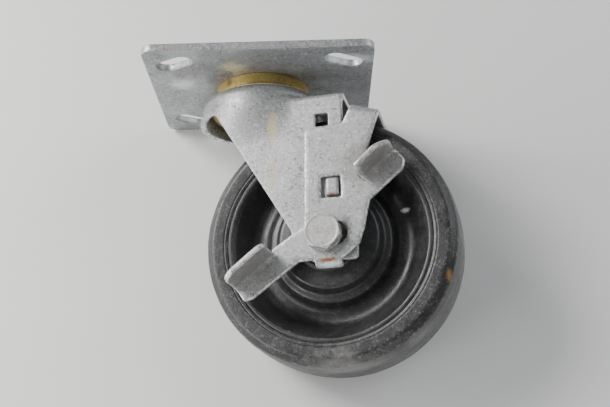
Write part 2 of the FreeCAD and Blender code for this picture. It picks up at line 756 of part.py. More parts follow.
def axle_hardware():
    """Hexagon bolt from the lever side, spring washer, far washer and lock nut."""
    head = hex_ring("axle_bolt_head", "axle", "boltFlats", None,
                    "-dims.headFace", "dims.boltHeadHeight")
    shank = doc.addObject("Part::Cylinder", "axle_bolt_shank")
    shank.setExpression("Radius", "dims.boltRadius")
    shank.setExpression("Height", "dims.headSeat + dims.boltEnd")
    shank.setExpression("Placement.Base.z", "-dims.headSeat")
    bolt = doc.addObject("Part::Fuse", "axle_bolt")
    bolt.Label = "axle_bolt"
    bolt.Base = head
    bolt.Tool = shank
    bolt.setExpression("Placement", PLACES["axle"])
    subparts.append(bolt)
    tube("axle_spring_washer", "axle", "axleHoleRadius", "springWasherRadius",
         "-springWasherOuter", "-springWasherInner")
    tube("axle_washer", "axle", "axleHoleRadius", "washerRadius", "washerSeat", "washerFace")
    nut = hex_ring("axle_nut_hex", "axle", "nutFlats", None, "dims.nutSeat", "dims.nutHeight")
    collar = doc.addObject("Part::Cylinder", "axle_nut_collar")
    collar.setExpression("Radius", "dims.nutCollarRadius")
    collar.setExpression("Height", "dims.nutHeight + dims.nutCollarHeight")
    collar.setExpression("Placement.Base.z", "dims.nutSeat")
    hole = doc.addObject("Part::Cylinder", "axle_nut_hole")
    hole.setExpression("Radius", "dims.boltRadius + dims.fitGap")
    hole.setExpression("Height", "dims.nutHeight + dims.nutCollarHeight")
    hole.setExpression("Placement.Base.z", "dims.nutSeat")
    outside = doc.addObject("Part::Fuse", "axle_nut_outside")
    outside.Base = nut
    outside.Tool = collar
    lock_nut = doc.addObject("Part::Cut", "axle_nut")
    lock_nut.Label = "axle_nut"
    lock_nut.Base = outside
    lock_nut.Tool = hole
    lock_nut.setExpression("Placement", PLACES["axle"])
    subparts.append(lock_nut)


def check_and_write():
    doc.recompute()
    faults = []
    for item in doc.Objects:
        if "Invalid" in item.State or "Error" in item.State:
            faults.append(item.Name + " " + ",".join(item.State))
    for item in subparts:
        if item.Shape.isNull() or not item.Shape.isValid():
            faults.append(item.Label + " has no valid shape")
    if faults:
        raise RuntimeError("; ".join(faults))
    os.makedirs("parts", exist_ok=True)
    for item in subparts:
        item.Shape.exportStep("parts/%s.step" % item.Label)
        count, volume = len(item.Shape.Solids), item.Shape.Volume
        print("%-20s %2d solid(s) %10.1f mm3" % (item.Label, count, volume))


fill_sheet()
mounting_plate()
swivel_races()
ball_ring("upper_balls", "upperBallPitch", "upperBallDrop", "upperBallCount")
ball_ring("lower_balls", "lowerBallPitch", "lowerBallDrop", "lowerBallCount")
kingpin_set()
fork()
brake_lever()
wheel()
wheel_bearing()
axle_hardware()
check_and_write()
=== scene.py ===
import json
import math

import bmesh
import bpy
import numpy as np
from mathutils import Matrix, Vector
from mathutils.geometry import delaunay_2d_cdt


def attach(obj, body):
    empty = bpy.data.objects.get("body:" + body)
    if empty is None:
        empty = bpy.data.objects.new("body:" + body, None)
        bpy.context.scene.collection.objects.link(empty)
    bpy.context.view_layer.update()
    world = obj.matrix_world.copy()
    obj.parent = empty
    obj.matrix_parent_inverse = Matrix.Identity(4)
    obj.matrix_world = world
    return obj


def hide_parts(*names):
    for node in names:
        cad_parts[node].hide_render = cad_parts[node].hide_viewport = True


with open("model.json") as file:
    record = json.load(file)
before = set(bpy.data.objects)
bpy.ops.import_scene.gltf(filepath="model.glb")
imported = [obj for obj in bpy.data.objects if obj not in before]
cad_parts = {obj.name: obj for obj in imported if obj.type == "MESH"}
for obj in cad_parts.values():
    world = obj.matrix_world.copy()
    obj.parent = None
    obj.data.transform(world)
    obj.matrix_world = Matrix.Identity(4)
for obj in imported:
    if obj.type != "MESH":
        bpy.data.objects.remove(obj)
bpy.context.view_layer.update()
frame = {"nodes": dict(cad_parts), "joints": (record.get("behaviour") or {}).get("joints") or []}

# Lengths in the dictionaries are millimetres. Shapes are worked out in three frames:
# the plate frame, the fork frame (turned about Z, X towards the wheel) and the axle
# frame (local Z along the axle, away from the brake lever, origin at the wheel's centre).
joints = {joint["name"]: joint for joint in frame["joints"]}
axleDir = np.array(joints["wheel_spin"]["axis"])
axleSpot = np.array(joints["wheel_spin"]["pos_m"]) * 1000
swivelTurn = math.atan2(-axleDir[0], axleDir[1])
axleX = float(np.hypot(axleSpot[0], axleSpot[1]))
axleZ = float(axleSpot[2])


# Turns points about Z by the swivel angle.
def forkToPlate(points):
    c, s = math.cos(swivelTurn), math.sin(swivelTurn)
    x, y, z = points[:, 0], points[:, 1], points[:, 2]
    return np.stack([x * c - y * s, x * s + y * c, z], 1)


# Lays local Z along the axle: across, up and along become fork X, fork Z and fork Y.
def axleToPlate(points):
    spots = np.stack([points[:, 0] + axleX, points[:, 2], points[:, 1] + axleZ], 1)
    return forkToPlate(spots)


# The plate's own pieces need no turn.
def plateToPlate(points):
    return points


# Gives a node its inputs: each is a value or the socket that feeds it.
def fill(tree, made, inputs):
    for key, value in inputs.items():
        if isinstance(value, bpy.types.NodeSocket):
            tree.links.new(value, made.inputs[key])
        else:
            made.inputs[key].default_value = value


# Adds one node with its settings and inputs.
def put(tree, kind, inputs=None, **settings):
    made = tree.nodes.new(kind)
    for key, value in settings.items():
        setattr(made, key, value)
    fill(tree, made, inputs or {})
    return made


def mixColour(tree, share, first, second):
    return put(tree, "ShaderNodeMix", {0: share, 6: first, 7: second}, data_type="RGBA").outputs[2]


def calc(tree, kind, first, second=0.0, clamp=False):
    return put(tree, "ShaderNodeMath", {0: first, 1: second},
               operation=kind, use_clamp=clamp).outputs[0]


# Straight ramp of a value from one range to another, held at its ends.
def ramp(tree, value, low, high, outLow=0.0, outHigh=1.0):
    return put(tree, "ShaderNodeMapRange",
               {"Value": value, "From Min": low, "From Max": high,
                "To Min": outLow, "To Max": outHigh}, clamp=True).outputs["Result"]


def noise(tree, spot, scale, detail=3.0, rough=0.55, bend=0.0):
    return put(tree, "ShaderNodeTexNoise",
               {"Vector": spot, "Scale": scale, "Detail": detail,
                "Roughness": rough, "Distortion": bend}).outputs["Fac"]


# A node group whose inputs are a place and (name, kind, value), and outputs (name, kind).
def newGroup(name, inputs, outputs):
    tree = bpy.data.node_groups.new(name, "ShaderNodeTree")
    for label, kind, value in [("Vector", "Vector", None)] + inputs:
        socket = tree.interface.new_socket(label, in_out="INPUT", socket_type="NodeSocket" + kind)
        if value is not None:
            socket.default_value = value
    for label, kind in outputs:
        tree.interface.new_socket(label, in_out="OUTPUT", socket_type="NodeSocket" + kind)
    return tree, put(tree, "NodeGroupInput").outputs, put(tree, "NodeGroupOutput").inputs


# Places a group; its sockets are there once its tree is set, so they are filled afterwards.
def useGroup(tree, group, inputs):
    made = put(tree, "ShaderNodeGroup", node_tree=group)
    fill(tree, made, inputs)
    return made.outputs


# Three noises blend four colours: broad clouds and small blotches tint the base, light specks
# gather where the blotches are, and dark pits break the rest.
def buildMottle():
    tree, given, out = newGroup("mottle", [
        ("Base", "Color", None), ("Cloud", "Color", None), ("Speck", "Color", None),
        ("Pit", "Color", None), ("Cloud Scale", "Float", 60.0),
        ("Speck Scale", "Float", 900.0), ("Speck Share", "Float", 0.5),
        ("Pit Share", "Float", 0.3)], [("Color", "Color"), ("Mask", "Float")])
    spot, specks = given["Vector"], given["Speck Scale"]
    large = noise(tree, spot, given["Cloud Scale"], 5.0, 0.62, 0.4)
    middle = noise(tree, spot, calc(tree, "MULTIPLY", given["Cloud Scale"], 4.3), 4.0, 0.6, 0.2)
    small = noise(tree, spot, specks, 3.0, 0.62)
    holes = noise(tree, spot, calc(tree, "MULTIPLY", specks, 0.62), 3.0, 0.65, 0.3)
    clouds, blotches = ramp(tree, large, 0.36, 0.66), ramp(tree, middle, 0.38, 0.64)
    tone = calc(tree, "ADD", calc(tree, "MULTIPLY", clouds, 0.6), calc(tree, "MULTIPLY", blotches, 0.4))
    light = calc(tree, "MULTIPLY", ramp(tree, small, 0.5, 0.66), given["Speck Share"])
    light = calc(tree, "MULTIPLY", light, calc(tree, "ADD", blotches, 0.25), clamp=True)
    dark = calc(tree, "MULTIPLY", ramp(tree, holes, 0.53, 0.66), given["Pit Share"])
    dark = calc(tree, "MULTIPLY", dark, calc(tree, "ADD", tone, 0.25), clamp=True)
    colour = mixColour(tree, tone, given["Base"], given["Cloud"])
    colour = mixColour(tree, light, colour, given["Speck"])
    colour = mixColour(tree, dark, colour, given["Pit"])
    tree.links.new(colour, out["Color"])
    tree.links.new(calc(tree, "ADD", tone, calc(tree, "ADD", light, dark)), out["Mask"])
    return tree


# Mask along the edges, for wear and rust, and on the fork's and lever's rims also a painted
# highlight: the edge attribute broken up by noise.
def buildWearAndHighlight():
    tree, given, out = newGroup("edgeWearAndHighlight", [
        ("Scale", "Float", 500.0), ("Start", "Float", 0.9), ("Reach", "Float", 0.2)],
        [("Mask", "Float")])
    edge = put(tree, "ShaderNodeAttribute", attribute_name="edge").outputs["Fac"]
    grit = noise(tree, given["Vector"], given["Scale"], 5.0, 0.68)
    level = calc(tree, "MULTIPLY", edge, calc(tree, "ADD", calc(tree, "MULTIPLY", grit, 1.6), 0.2))
    stop = calc(tree, "ADD", given["Start"], given["Reach"])
    tree.links.new(put(tree, "ShaderNodeMapRange", {
        "Value": level, "From Min": given["Start"], "From Max": stop}).outputs["Result"], out["Mask"])
    return tree


# Soft round patch, for a stain, painted shade or painted highlight: distance from a centre, its rim torn by
# noise.
def buildSpot():
    tree, given, out = newGroup("stainAndPaintedLightSpot", [
        ("Centre", "Vector", (0, 0, 0)), ("Stretch", "Vector", (1, 1, 1)),
        ("Radius", "Float", 0.004), ("Grain", "Float", 500.0)], [("Mask", "Float")])
    away = put(tree, "ShaderNodeVectorMath", {0: given["Vector"], 1: given["Centre"]},
               operation="SUBTRACT").outputs[0]
    away = put(tree, "ShaderNodeVectorMath", {0: away, 1: given["Stretch"]},
               operation="MULTIPLY").outputs[0]
    reach = put(tree, "ShaderNodeVectorMath", {0: away}, operation="LENGTH").outputs["Value"]
    share = calc(tree, "DIVIDE", reach, given["Radius"])
    torn = calc(tree, "MULTIPLY", noise(tree, given["Vector"], given["Grain"], 4.0, 0.7), 1.3)
    level = calc(tree, "ADD", share, torn)
    tree.links.new(ramp(tree, level, 0.95, 1.55, 1.0, 0.0), out["Mask"])
    return tree


# Height of a fine rough skin: pits from one noise, grain from another.
def buildGrain():
    tree, given, out = newGroup("skinGrain", [
        ("Coarse", "Float", 350.0), ("Fine", "Float", 1800.0), ("Coarse Share", "Float", 0.6)],
        [("Height", "Float")])
    coarse = noise(tree, given["Vector"], given["Coarse"], 3.0, 0.55)
    fine = noise(tree, given["Vector"], given["Fine"], 2.0, 0.5)
    tree.links.new(put(tree, "ShaderNodeMix", {0: given["Coarse Share"], 2: fine, 3: coarse},
                       data_type="FLOAT").outputs[0], out["Height"])
    return tree


mottle, edgeWearAndHighlight, stainAndPaintedLightSpot, skinGrain = buildMottle(), buildWearAndHighlight(), buildSpot(), buildGrain()


def rgb(red, green, blue):
    return (red, green, blue, 1.0)


# Colours are base, cloud, speck and pit; spread is the scales of clouds and specks, then the
# shares of specks and pits; wear is a colour and where it begins; rust is a colour, its scale and
# where it begins; skin is coarse and fine scales and strength. Scales are counts to a metre, and
# wear and rust begin at a level of the edge mask, about 0.8 to 1.2 on an edge.
# On the wheel's two finishes rust stands for ground-in dust.
finishes = {
    "galvanisedSteel": {
        "colours": ((0.37, 0.38, 0.38), (0.23, 0.235, 0.23), (0.62, 0.64, 0.64), (0.09, 0.085, 0.075)),
        "spread": (75, 1000, 0.60, 0.70), "metal": 0.55, "rough": (0.34, 0.58),
        # The wear colour is worn zinc and also a painted highlight along the fork's and lever's rims.
        "wear": ((0.74, 0.74, 0.72), 0.86), "rust": ((0.20, 0.10, 0.05), 260, 1.16),
        "skin": (420, 2300, 0.16)},
    "plateSteel": {
        "colours": ((0.40, 0.41, 0.42), (0.19, 0.20, 0.205), (0.66, 0.68, 0.70), (0.13, 0.13, 0.125)),
        "spread": (50, 850, 0.62, 0.5), "metal": 0.6, "rough": (0.28, 0.55),
        "wear": ((0.44, 0.44, 0.43), 1.0), "rust": ((0.20, 0.12, 0.07), 200, 1.17),
        "skin": (300, 1900, 0.18)},
    "yellowZinc": {
        "colours": ((0.60, 0.44, 0.12), (0.40, 0.29, 0.09), (0.80, 0.68, 0.34), (0.12, 0.085, 0.045)),
        "spread": (130, 1200, 0.5, 0.5), "metal": 0.55, "rough": (0.32, 0.50),
        "wear": ((0.86, 0.79, 0.55), 0.8), "rust": ((0.17, 0.09, 0.045), 240, 1.16),
        "skin": (500, 2500, 0.12)},
    "zincHardware": {
        "colours": ((0.38, 0.38, 0.37), (0.24, 0.235, 0.225), (0.58, 0.58, 0.56), (0.14, 0.125, 0.11)),
        "spread": (190, 1300, 0.55, 0.6), "metal": 0.5, "rough": (0.42, 0.60),
        "wear": ((0.66, 0.66, 0.64), 0.9), "rust": ((0.19, 0.10, 0.055), 420, 1.15),
        "skin": (700, 2600, 0.18)},
    "bearingSteel": {
        "colours": ((0.46, 0.465, 0.47), (0.38, 0.38, 0.385), (0.56, 0.56, 0.56), (0.2, 0.19, 0.18)),
        "spread": (200, 1500, 0.3, 0.2), "metal": 0.95, "rough": (0.16, 0.30),
        "wear": ((0.6, 0.6, 0.6), 1.0), "rust": ((0.16, 0.1, 0.06), 500, 1.25),
        "skin": (900, 3000, 0.03)},
    "wheelCoreBlack": {
        "colours": ((0.011, 0.011, 0.012), (0.020, 0.020, 0.021), (0.16, 0.16, 0.158), (0.004, 0.004, 0.004)),
        "spread": (60, 1250, 0.22, 0.5), "metal": 0.0, "rough": (0.28, 0.56),
        "wear": ((0.20, 0.20, 0.197), 0.95), "rust": ((0.10, 0.10, 0.098), 300, 1.1),
        "skin": (500, 2200, 0.22)},
    "treadRubber": {
        "colours": ((0.009, 0.009, 0.010), (0.020, 0.020, 0.020), (0.20, 0.20, 0.197), (0.005, 0.005, 0.005)),
        "spread": (45, 1000, 0.34, 0.5), "metal": 0.0, "rough": (0.30, 0.60),
        "wear": ((0.20, 0.20, 0.197), 1.0), "rust": ((0.16, 0.155, 0.15), 300, 1.15),
        "skin": (420, 1700, 0.30)},
    "cageNylon": {
        "colours": ((0.10, 0.10, 0.105), (0.13, 0.13, 0.13), (0.2, 0.2, 0.2), (0.05, 0.05, 0.05)),
        "spread": (150, 1500, 0.3, 0.3), "metal": 0.0, "rough": (0.35, 0.5),
        "wear": ((0.2, 0.2, 0.2), 1.0), "rust": ((0.08, 0.08, 0.08), 400, 1.2),
        "skin": (700, 2400, 0.05)},
}

rustReach, rustRough = 0.12, 0.85
stainGrain = 3.2      # ragged bits along a stain's radius
grainDepth = 0.0006   # metres


# Principled finish: mottled colour, worn and rusted edges, then stains and patches of painted shade
# and painted highlight (centre, radius, stretch, colour, strength, roughness), each mixed over the last by
# its own mask.
def finishMaterial(name, values, stainsAndPaintedLight=()):
    material = bpy.data.materials.new(name)
    material.use_nodes = True
    tree = material.node_tree
    tree.nodes.clear()
    spot = put(tree, "ShaderNodeTexCoord").outputs["Object"]
    inputs = dict(zip(("Base", "Cloud", "Speck", "Pit"), [rgb(*tint) for tint in values["colours"]]))
    inputs.update(zip(("Cloud Scale", "Speck Scale", "Speck Share", "Pit Share"), values["spread"]))
    patches = useGroup(tree, mottle, {"Vector": spot, **inputs})
    # On the fork and lever this edge colour is wear and a painted highlight along the rims.
    wearAndHighlightTint, wearFrom = values["wear"]
    wearAndHighlightMask = useGroup(tree, edgeWearAndHighlight, {"Vector": spot, "Start": wearFrom})["Mask"]
    colour = mixColour(tree, wearAndHighlightMask, patches["Color"], rgb(*wearAndHighlightTint))
    rustColour, rustScale, rustFrom = values["rust"]
    rusty = useGroup(tree, edgeWearAndHighlight, {"Vector": spot, "Scale": rustScale, "Start": rustFrom,
                                      "Reach": rustReach})["Mask"]
    colour = mixColour(tree, rusty, colour, rgb(*rustColour))
    metal = values["metal"]
    if metal:
        metal = calc(tree, "MULTIPLY", calc(tree, "SUBTRACT", 1.0, rusty), metal)
    roughness = ramp(tree, patches["Mask"], 0.0, 1.4, values["rough"][0], values["rough"][1])
    roughness = calc(tree, "MAXIMUM", roughness, calc(tree, "MULTIPLY", rusty, rustRough))
    for centre, radius, stretch, tint, strength, dull in stainsAndPaintedLight:
        mask = useGroup(tree, stainAndPaintedLightSpot, {
            "Vector": spot, "Centre": centre, "Radius": radius, "Stretch": stretch,
            "Grain": stainGrain / radius})["Mask"]
        mask = calc(tree, "MULTIPLY", mask, strength)
        colour = mixColour(tree, mask, colour, tint)
        keep = calc(tree, "SUBTRACT", 1.0, mask)
        if values["metal"]:
            metal = calc(tree, "MULTIPLY", metal, keep)
        roughness = calc(tree, "ADD", calc(tree, "MULTIPLY", roughness, keep),
                         calc(tree, "MULTIPLY", mask, dull))
    coarse, fine, strong = values["skin"]
    height = useGroup(tree, skinGrain, {"Vector": spot, "Coarse": coarse, "Fine": fine})["Height"]
    bump = put(tree, "ShaderNodeBump", {"Strength": strong, "Distance": grainDepth,
                                        "Height": height}).outputs["Normal"]
    shader = put(tree, "ShaderNodeBsdfPrincipled", {
        "Base Color": colour, "Metallic": metal, "Roughness": roughness, "Normal": bump})
    put(tree, "ShaderNodeOutputMaterial", {"Surface": shader.outputs[0]})
    return material


# Puts millimetre points and faces into a mesh object that rides on a body and takes a node's
# place. Turns sharper than the given degrees stay crisp.
def addPiece(name, node, points, faces, edge, body, finish, turn=38, merge=False):
    mesh = bpy.data.meshes.new(name)
    mesh.from_pydata((np.asarray(points) / 1000.0).tolist(), [], faces)
    mark = mesh.attributes.new("edge", "FLOAT", "POINT")
    mark.data.foreach_set("value", np.asarray(edge, np.float32))
    if merge:
        work = bmesh.new()
        work.from_mesh(mesh)
        bmesh.ops.remove_doubles(work, verts=work.verts, dist=1e-7)
        bmesh.ops.recalc_face_normals(work, faces=work.faces)
        work.to_mesh(mesh)
        work.free()
    mesh.validate()
    mesh.shade_smooth()
    mesh.set_sharp_from_angle(angle=math.radians(turn))
    mesh.materials.append(materials[finish])
    piece = bpy.data.objects.new(name, mesh)
    bpy.context.scene.collection.objects.link(piece)
    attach(piece, body)
    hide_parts(node)
    print(name, len(mesh.vertices), "points", len(mesh.polygons), "faces")


# Quads of a grid of points stored row by row, its columns closed into a ring.
def gridFaces(rows, columns, closeRows=False):
    r = np.arange(rows if closeRows else rows - 1)[:, None]
    c = np.arange(columns)[None, :]
    down, right = (r + 1) % rows, (c + 1) % columns
    quads = np.stack([r * columns + c, r * columns + right,
                      down * columns + right, down * columns + c], -1)
    return quads.reshape(-1, 4)


# Each corner (x, y, radius) becomes an arc tangent to both of its edges: its centre lies on the
# corner's bisector, the radius over the sine of the half angle away.
def roundedLoop(corners, steps=5):
    spots = np.array([c[:2] for c in corners], float)
    radius = np.array([c[2] for c in corners], float)
    back, ahead = np.roll(spots, 1, 0) - spots, np.roll(spots, -1, 0) - spots
    backLength = np.linalg.norm(back, axis=1)
    aheadLength = np.linalg.norm(ahead, axis=1)
    back, ahead = back / backLength[:, None], ahead / aheadLength[:, None]
    half = np.arccos(np.clip((back * ahead).sum(1), -1, 0.9999)) / 2
    half = np.minimum(half, math.pi / 2 - 1e-3)
    cut = np.minimum(radius / np.tan(half), 0.48 * np.minimum(backLength, aheadLength))
    radius = cut * np.tan(half)
    way = back + ahead
    way /= np.linalg.norm(way, axis=1)[:, None]
    centre = spots + way * (radius / np.sin(half))[:, None]
    first, last = spots + back * cut[:, None] - centre, spots + ahead * cut[:, None] - centre
    sweep = (math.pi - 2 * half)[:, None, None]
    share = np.linspace(0, 1, steps)[None, :, None]
    arc = (np.sin((1 - share) * sweep) * first[:, None] + np.sin(share * sweep) * last[:, None])
    return (centre[:, None] + arc / np.sin(sweep)).reshape(-1, 2)


# Splits each straight run of a loop into equal parts no longer than gap.
def fineLoop(loop, gap):
    step = np.roll(loop, -1, 0) - loop
    parts = np.maximum(1, np.ceil(np.linalg.norm(step, axis=1) / gap)).astype(int)
    first = np.repeat(np.arange(len(loop)), parts)
    along = np.arange(parts.sum()) - np.repeat(np.cumsum(parts) - parts, parts)
    return loop[first] + step[first] * (along / np.repeat(parts, parts))[:, None]


# Half the sum of cross products, positive when a loop runs anticlockwise.
def loopArea(loop):
    x, y = loop.T
    return 0.5 * float((x * np.roll(y, -1) - np.roll(x, -1) * y).sum())


# Mitred normals on the left of a loop's direction of travel.
def inwardNormals(loop):
    step = np.roll(loop, -1, 0) - loop
    step /= np.linalg.norm(step, axis=1)[:, None]
    side = np.stack([-step[:, 1], step[:, 0]], 1)
    both = side + np.roll(side, 1, 0)
    size = np.linalg.norm(both, axis=1)[:, None]
    return both / size * np.minimum(2 / size, 1.5)


# Even-odd test of points against all the loops together.
def insideLoops(points, loops):
    inside = np.zeros(len(points), bool)
    for loop in loops:
        a, b = loop, np.roll(loop, -1, 0)
        for part in np.array_split(np.arange(len(points)), max(1, len(points) // 2000)):
            x, y = points[part, 0][:, None], points[part, 1][:, None]
            spans = (a[:, 1] > y) != (b[:, 1] > y)
            rise = np.where(b[:, 1] == a[:, 1], 1e-9, b[:, 1] - a[:, 1])
            reach = a[:, 0] + (y - a[:, 1]) / rise * (b[:, 0] - a[:, 0])
            inside[part] ^= (np.sum(spans & (x < reach), axis=1) % 2).astype(bool)
    return inside


# A flat sheet with rounded rims: the rim profile (quarter arc, wall, quarter arc) is carried
# along every loop, and both faces are triangulated between the loops over a lattice of seeds.
# Gives positions in the sheet, heights in its thickness, faces and the edge value.
def sheetSurface(outline, holes, thick, edge, gap, extra=None):
    loops = [outline if loopArea(outline) > 0 else outline[::-1]]
    loops += [h if loopArea(h) < 0 else h[::-1] for h in holes]
    loops = [fineLoop(loop, gap) for loop in loops]
    arc = np.linspace(0, math.pi / 2, 4)
    inset = np.concatenate([edge * (1 - np.sin(arc)), edge * (1 - np.cos(arc))])
    height = np.concatenate([edge * (1 - np.cos(arc)), thick - edge * (1 - np.sin(arc))])
    flats, heights, faces, marks, low, high = [], [], [], [], [], []
    rows, count = len(inset), 0
    for loop in loops:
        ring = loop[None] + inwardNormals(loop)[None] * inset[:, None, None]
        flats.append(ring.reshape(-1, 2))
        heights.append(np.repeat(height, len(loop)))
        marks.append(np.repeat([0.7] + [1] * (rows - 2) + [0.7], len(loop)))
        faces += (gridFaces(rows, len(loop)) + count).tolist()
        low.append(np.arange(len(loop)) + count)
        high.append(np.arange(len(loop)) + count + (rows - 1) * len(loop))
        count += rows * len(loop)
    rims = np.concatenate(flats)[np.concatenate(low)]
    corner, far = rims.min(0), rims.max(0)
    x, y = np.meshgrid(np.arange(corner[0], far[0], gap), np.arange(corner[1], far[1], gap * 0.87))
    x = x + (np.arange(len(x)) % 2)[:, None] * gap / 2
    seeds = np.stack([x.ravel(), y.ravel()], 1)
    if extra is not None:
        seeds = np.concatenate([extra, seeds])
    seeds = seeds[insideLoops(seeds, loops)]
    near = np.concatenate([np.min(((part[:, None] - rims[None]) ** 2).sum(2), 1)
                           for part in np.array_split(seeds, max(1, len(seeds) // 400))])
    seeds = seeds[near > (0.55 * gap) ** 2]
    starts = np.cumsum([0] + [len(loop) for loop in loops])
    ties = [(int(a + k), int(a + (k + 1) % (b - a))) for a, b in zip(starts[:-1], starts[1:])
            for k in range(b - a)]
    plan = np.concatenate([rims, seeds])
    _, _, tris, origin, _, _ = delaunay_2d_cdt([Vector(p) for p in plan], ties, [], 0, 1e-6)
    origin = np.array([o[0] if o else -1 for o in origin])
    tris = origin[np.array([t for t in tris if len(t) == 3])]
    tris = tris[(tris >= 0).all(1)]
    inner = [loop + inwardNormals(loop) * edge for loop in loops]
    tris = tris[insideLoops(plan[tris].mean(1), inner)]
    seedLow = np.arange(len(seeds)) + count
    seedHigh = seedLow + len(seeds)
    flats += [seeds, seeds]
    heights += [np.zeros(len(seeds)), np.full(len(seeds), thick)]
    marks += [np.zeros(len(seeds)), np.zeros(len(seeds))]
    floor = np.concatenate(low + [seedLow])
    ceiling = np.concatenate(high + [seedHigh])
    faces += floor[tris][:, ::-1].tolist() + ceiling[tris].tolist()
    return np.concatenate(flats), np.concatenate(heights), faces, np.concatenate(marks)


# Surface of revolution: a closed half section carried round local Z.
def lathe(profile, turns, ripple=None):
    angle = np.linspace(0, 2 * math.pi, turns, endpoint=False)[None]
    radius, height = profile[:, 0][:, None], profile[:, 1][:, None]
    if ripple is not None:
        radius, height = ripple(radius + 0 * angle, height + 0 * angle, angle + 0 * radius)
    x, y = radius * np.cos(angle), radius * np.sin(angle)
    points = np.stack([x, y, height + 0 * angle], -1).reshape(-1, 3)
    return points, gridFaces(len(profile), turns, closeRows=True)[:, ::-1].tolist()


# Edge value of a turned piece: highest near the section's rounded corners, where a corner's
# fourth number, if it has one, is its share of wear. It fades out in about 2 mm.
def cornerMarks(corners, profile, turns):
    spots = np.array([c[:2] for c in corners], float)
    share = np.array([(c[3] if len(c) > 3 else 1.0) * (c[2] > 0) for c in corners])
    away = np.linalg.norm(profile[:, None] - spots[None], axis=2)
    level = np.clip(1.15 - away / 1.8, 0, 1) * share
    return np.repeat(level.max(1), turns)


# Metres and degrees.
studio = {
    "place": (0.02598, -0.48130, -0.22095), "turn": (107.760, 1.210, 0.987),
    "lens": 58.313, "sensor": 36.0, "near": 0.01,
    "aim": (0.02, 0.0, -0.07), "sky": rgb(0.80, 0.82, 0.84), "skyStrength": 0.32,
}
lensData = bpy.data.cameras.new("camera")
lensData.lens = studio["lens"]
lensData.sensor_width = studio["sensor"]
lensData.clip_start = studio["near"]
camera = bpy.data.objects.new("camera", lensData)
camera.location = studio["place"]
camera.rotation_euler = [math.radians(angle) for angle in studio["turn"]]
bpy.context.scene.collection.objects.link(camera)
bpy.context.scene.camera = camera

lamps = [
    # place, size, watts, colour
    ((-0.78, -0.62, 0.42), 0.50, 19, (1.0, 0.99, 0.97)),   # key, from the upper left
    ((-1.00, -0.30, -0.12), 0.6, 6, (1.0, 1.0, 1.0)),
    ((0.80, -0.50, 0.35), 0.7, 4.5, (0.95, 0.97, 1.0)),
    ((-0.75, -0.45, -0.55), 0.35, 4.5, (1.0, 1.0, 1.0)),   # streak on the tyre's lower left
    ((-0.55, 0.70, 0.60), 0.7, 11, (1.0, 1.0, 1.0)),       # the two behind light the far side
    ((0.70, 0.80, -0.10), 0.8, 9, (1.0, 0.99, 0.97)),
    ((0.10, -0.20, -0.90), 0.7, 3, (1.0, 1.0, 1.0)),
]
for number, (place, size, watts, tint) in enumerate(lamps):
    lampData = bpy.data.lights.new("softbox%d" % number, "AREA")
    lampData.energy, lampData.size, lampData.color = watts, size, tint
    lamp = bpy.data.objects.new("softbox%d" % number, lampData)
    lamp.location = place
    lamp.rotation_euler = (Vector(studio["aim"]) - Vector(place)).to_track_quat("-Z", "Y").to_euler()
    bpy.context.scene.collection.objects.link(lamp)

world = bpy.data.worlds.new("studio")
bpy.context.scene.world = world
world.use_nodes = True
sky = world.node_tree.nodes["Background"].inputs
sky["Color"].default_value = studio["sky"]
sky["Strength"].default_value = studio["skyStrength"]

# The board touches the plate's far edge and the end of the axle.
table = {"size": 2.4, "edge": (0.0, 0.0515, 0.0), "axleEnd": (0.0, 0.0320, -0.0934),
         "paint": rgb(0.66, 0.66, 0.65), "rough": 0.6}


# Plain pale board that the caster lies on. It shows on its face only and lets lamps shine
# through, so that the caster can be seen and is lit from behind as well.
def buildTable():
    a, b = Vector(table["edge"]), Vector(table["axleEnd"])
    up = (a - b).normalized()
    side = Vector((1, 0, 0))
    centre, half = (a + b) / 2, table["size"] / 2
    corners = [centre + side * s * half + up * t * half
               for s, t in ((-1, -1), (1, -1), (1, 1), (-1, 1))]
    mesh = bpy.data.meshes.new("table")
    mesh.from_pydata(corners, [], [(0, 1, 2, 3)])
    material = bpy.data.materials.new("tablePaint")
    material.use_nodes = True
    tree = material.node_tree
    tree.nodes.clear()
    paint = put(tree, "ShaderNodeBsdfPrincipled", {"Base Color": table["paint"],
                                                   "Roughness": table["rough"]})
    clear = put(tree, "ShaderNodeBsdfTransparent")
    back = put(tree, "ShaderNodeNewGeometry").outputs["Backfacing"]
    shadow = put(tree, "ShaderNodeLightPath").outputs["Is Shadow Ray"]
    unseen = calc(tree, "MAXIMUM", back, shadow)
    both = put(tree, "ShaderNodeMixShader", {0: unseen, 1: paint.outputs[0], 2: clear.outputs[0]})
    put(tree, "ShaderNodeOutputMaterial", {"Surface": both.outputs[0]})
    mesh.materials.append(material)
    board = bpy.data.objects.new("table", mesh)
    bpy.context.scene.collection.objects.link(board)


buildTable()
print("camera, lights and table ready")

plate = {"length": 114.3, "width": 101.6, "thick": 4.0, "corner": 6.0, "rim": 0.55,
         "slotOuter": (46.04, 33.34), "slotInner": (38.1, 38.1), "slotRadius": 5.2,
         "pinTop": 9.75, "pinFoot": 6.1, "sinkReach": 16.0, "gap": 2.2}


# A slot's outline: a half circle round each of its two centres.
def slotLoop(start, end, radius, steps=14):
    way = math.atan2(end[1] - start[1], end[0] - start[0])
    half = np.linspace(math.pi / 2, 3 * math.pi / 2, steps)
    near = np.stack([start[0] + radius * np.cos(way + half), start[1] + radius * np.sin(way + half)], 1)
    far = np.stack([end[0] - radius * np.cos(way + half), end[1] - radius * np.sin(way + half)], 1)
    return np.concatenate([near, far])


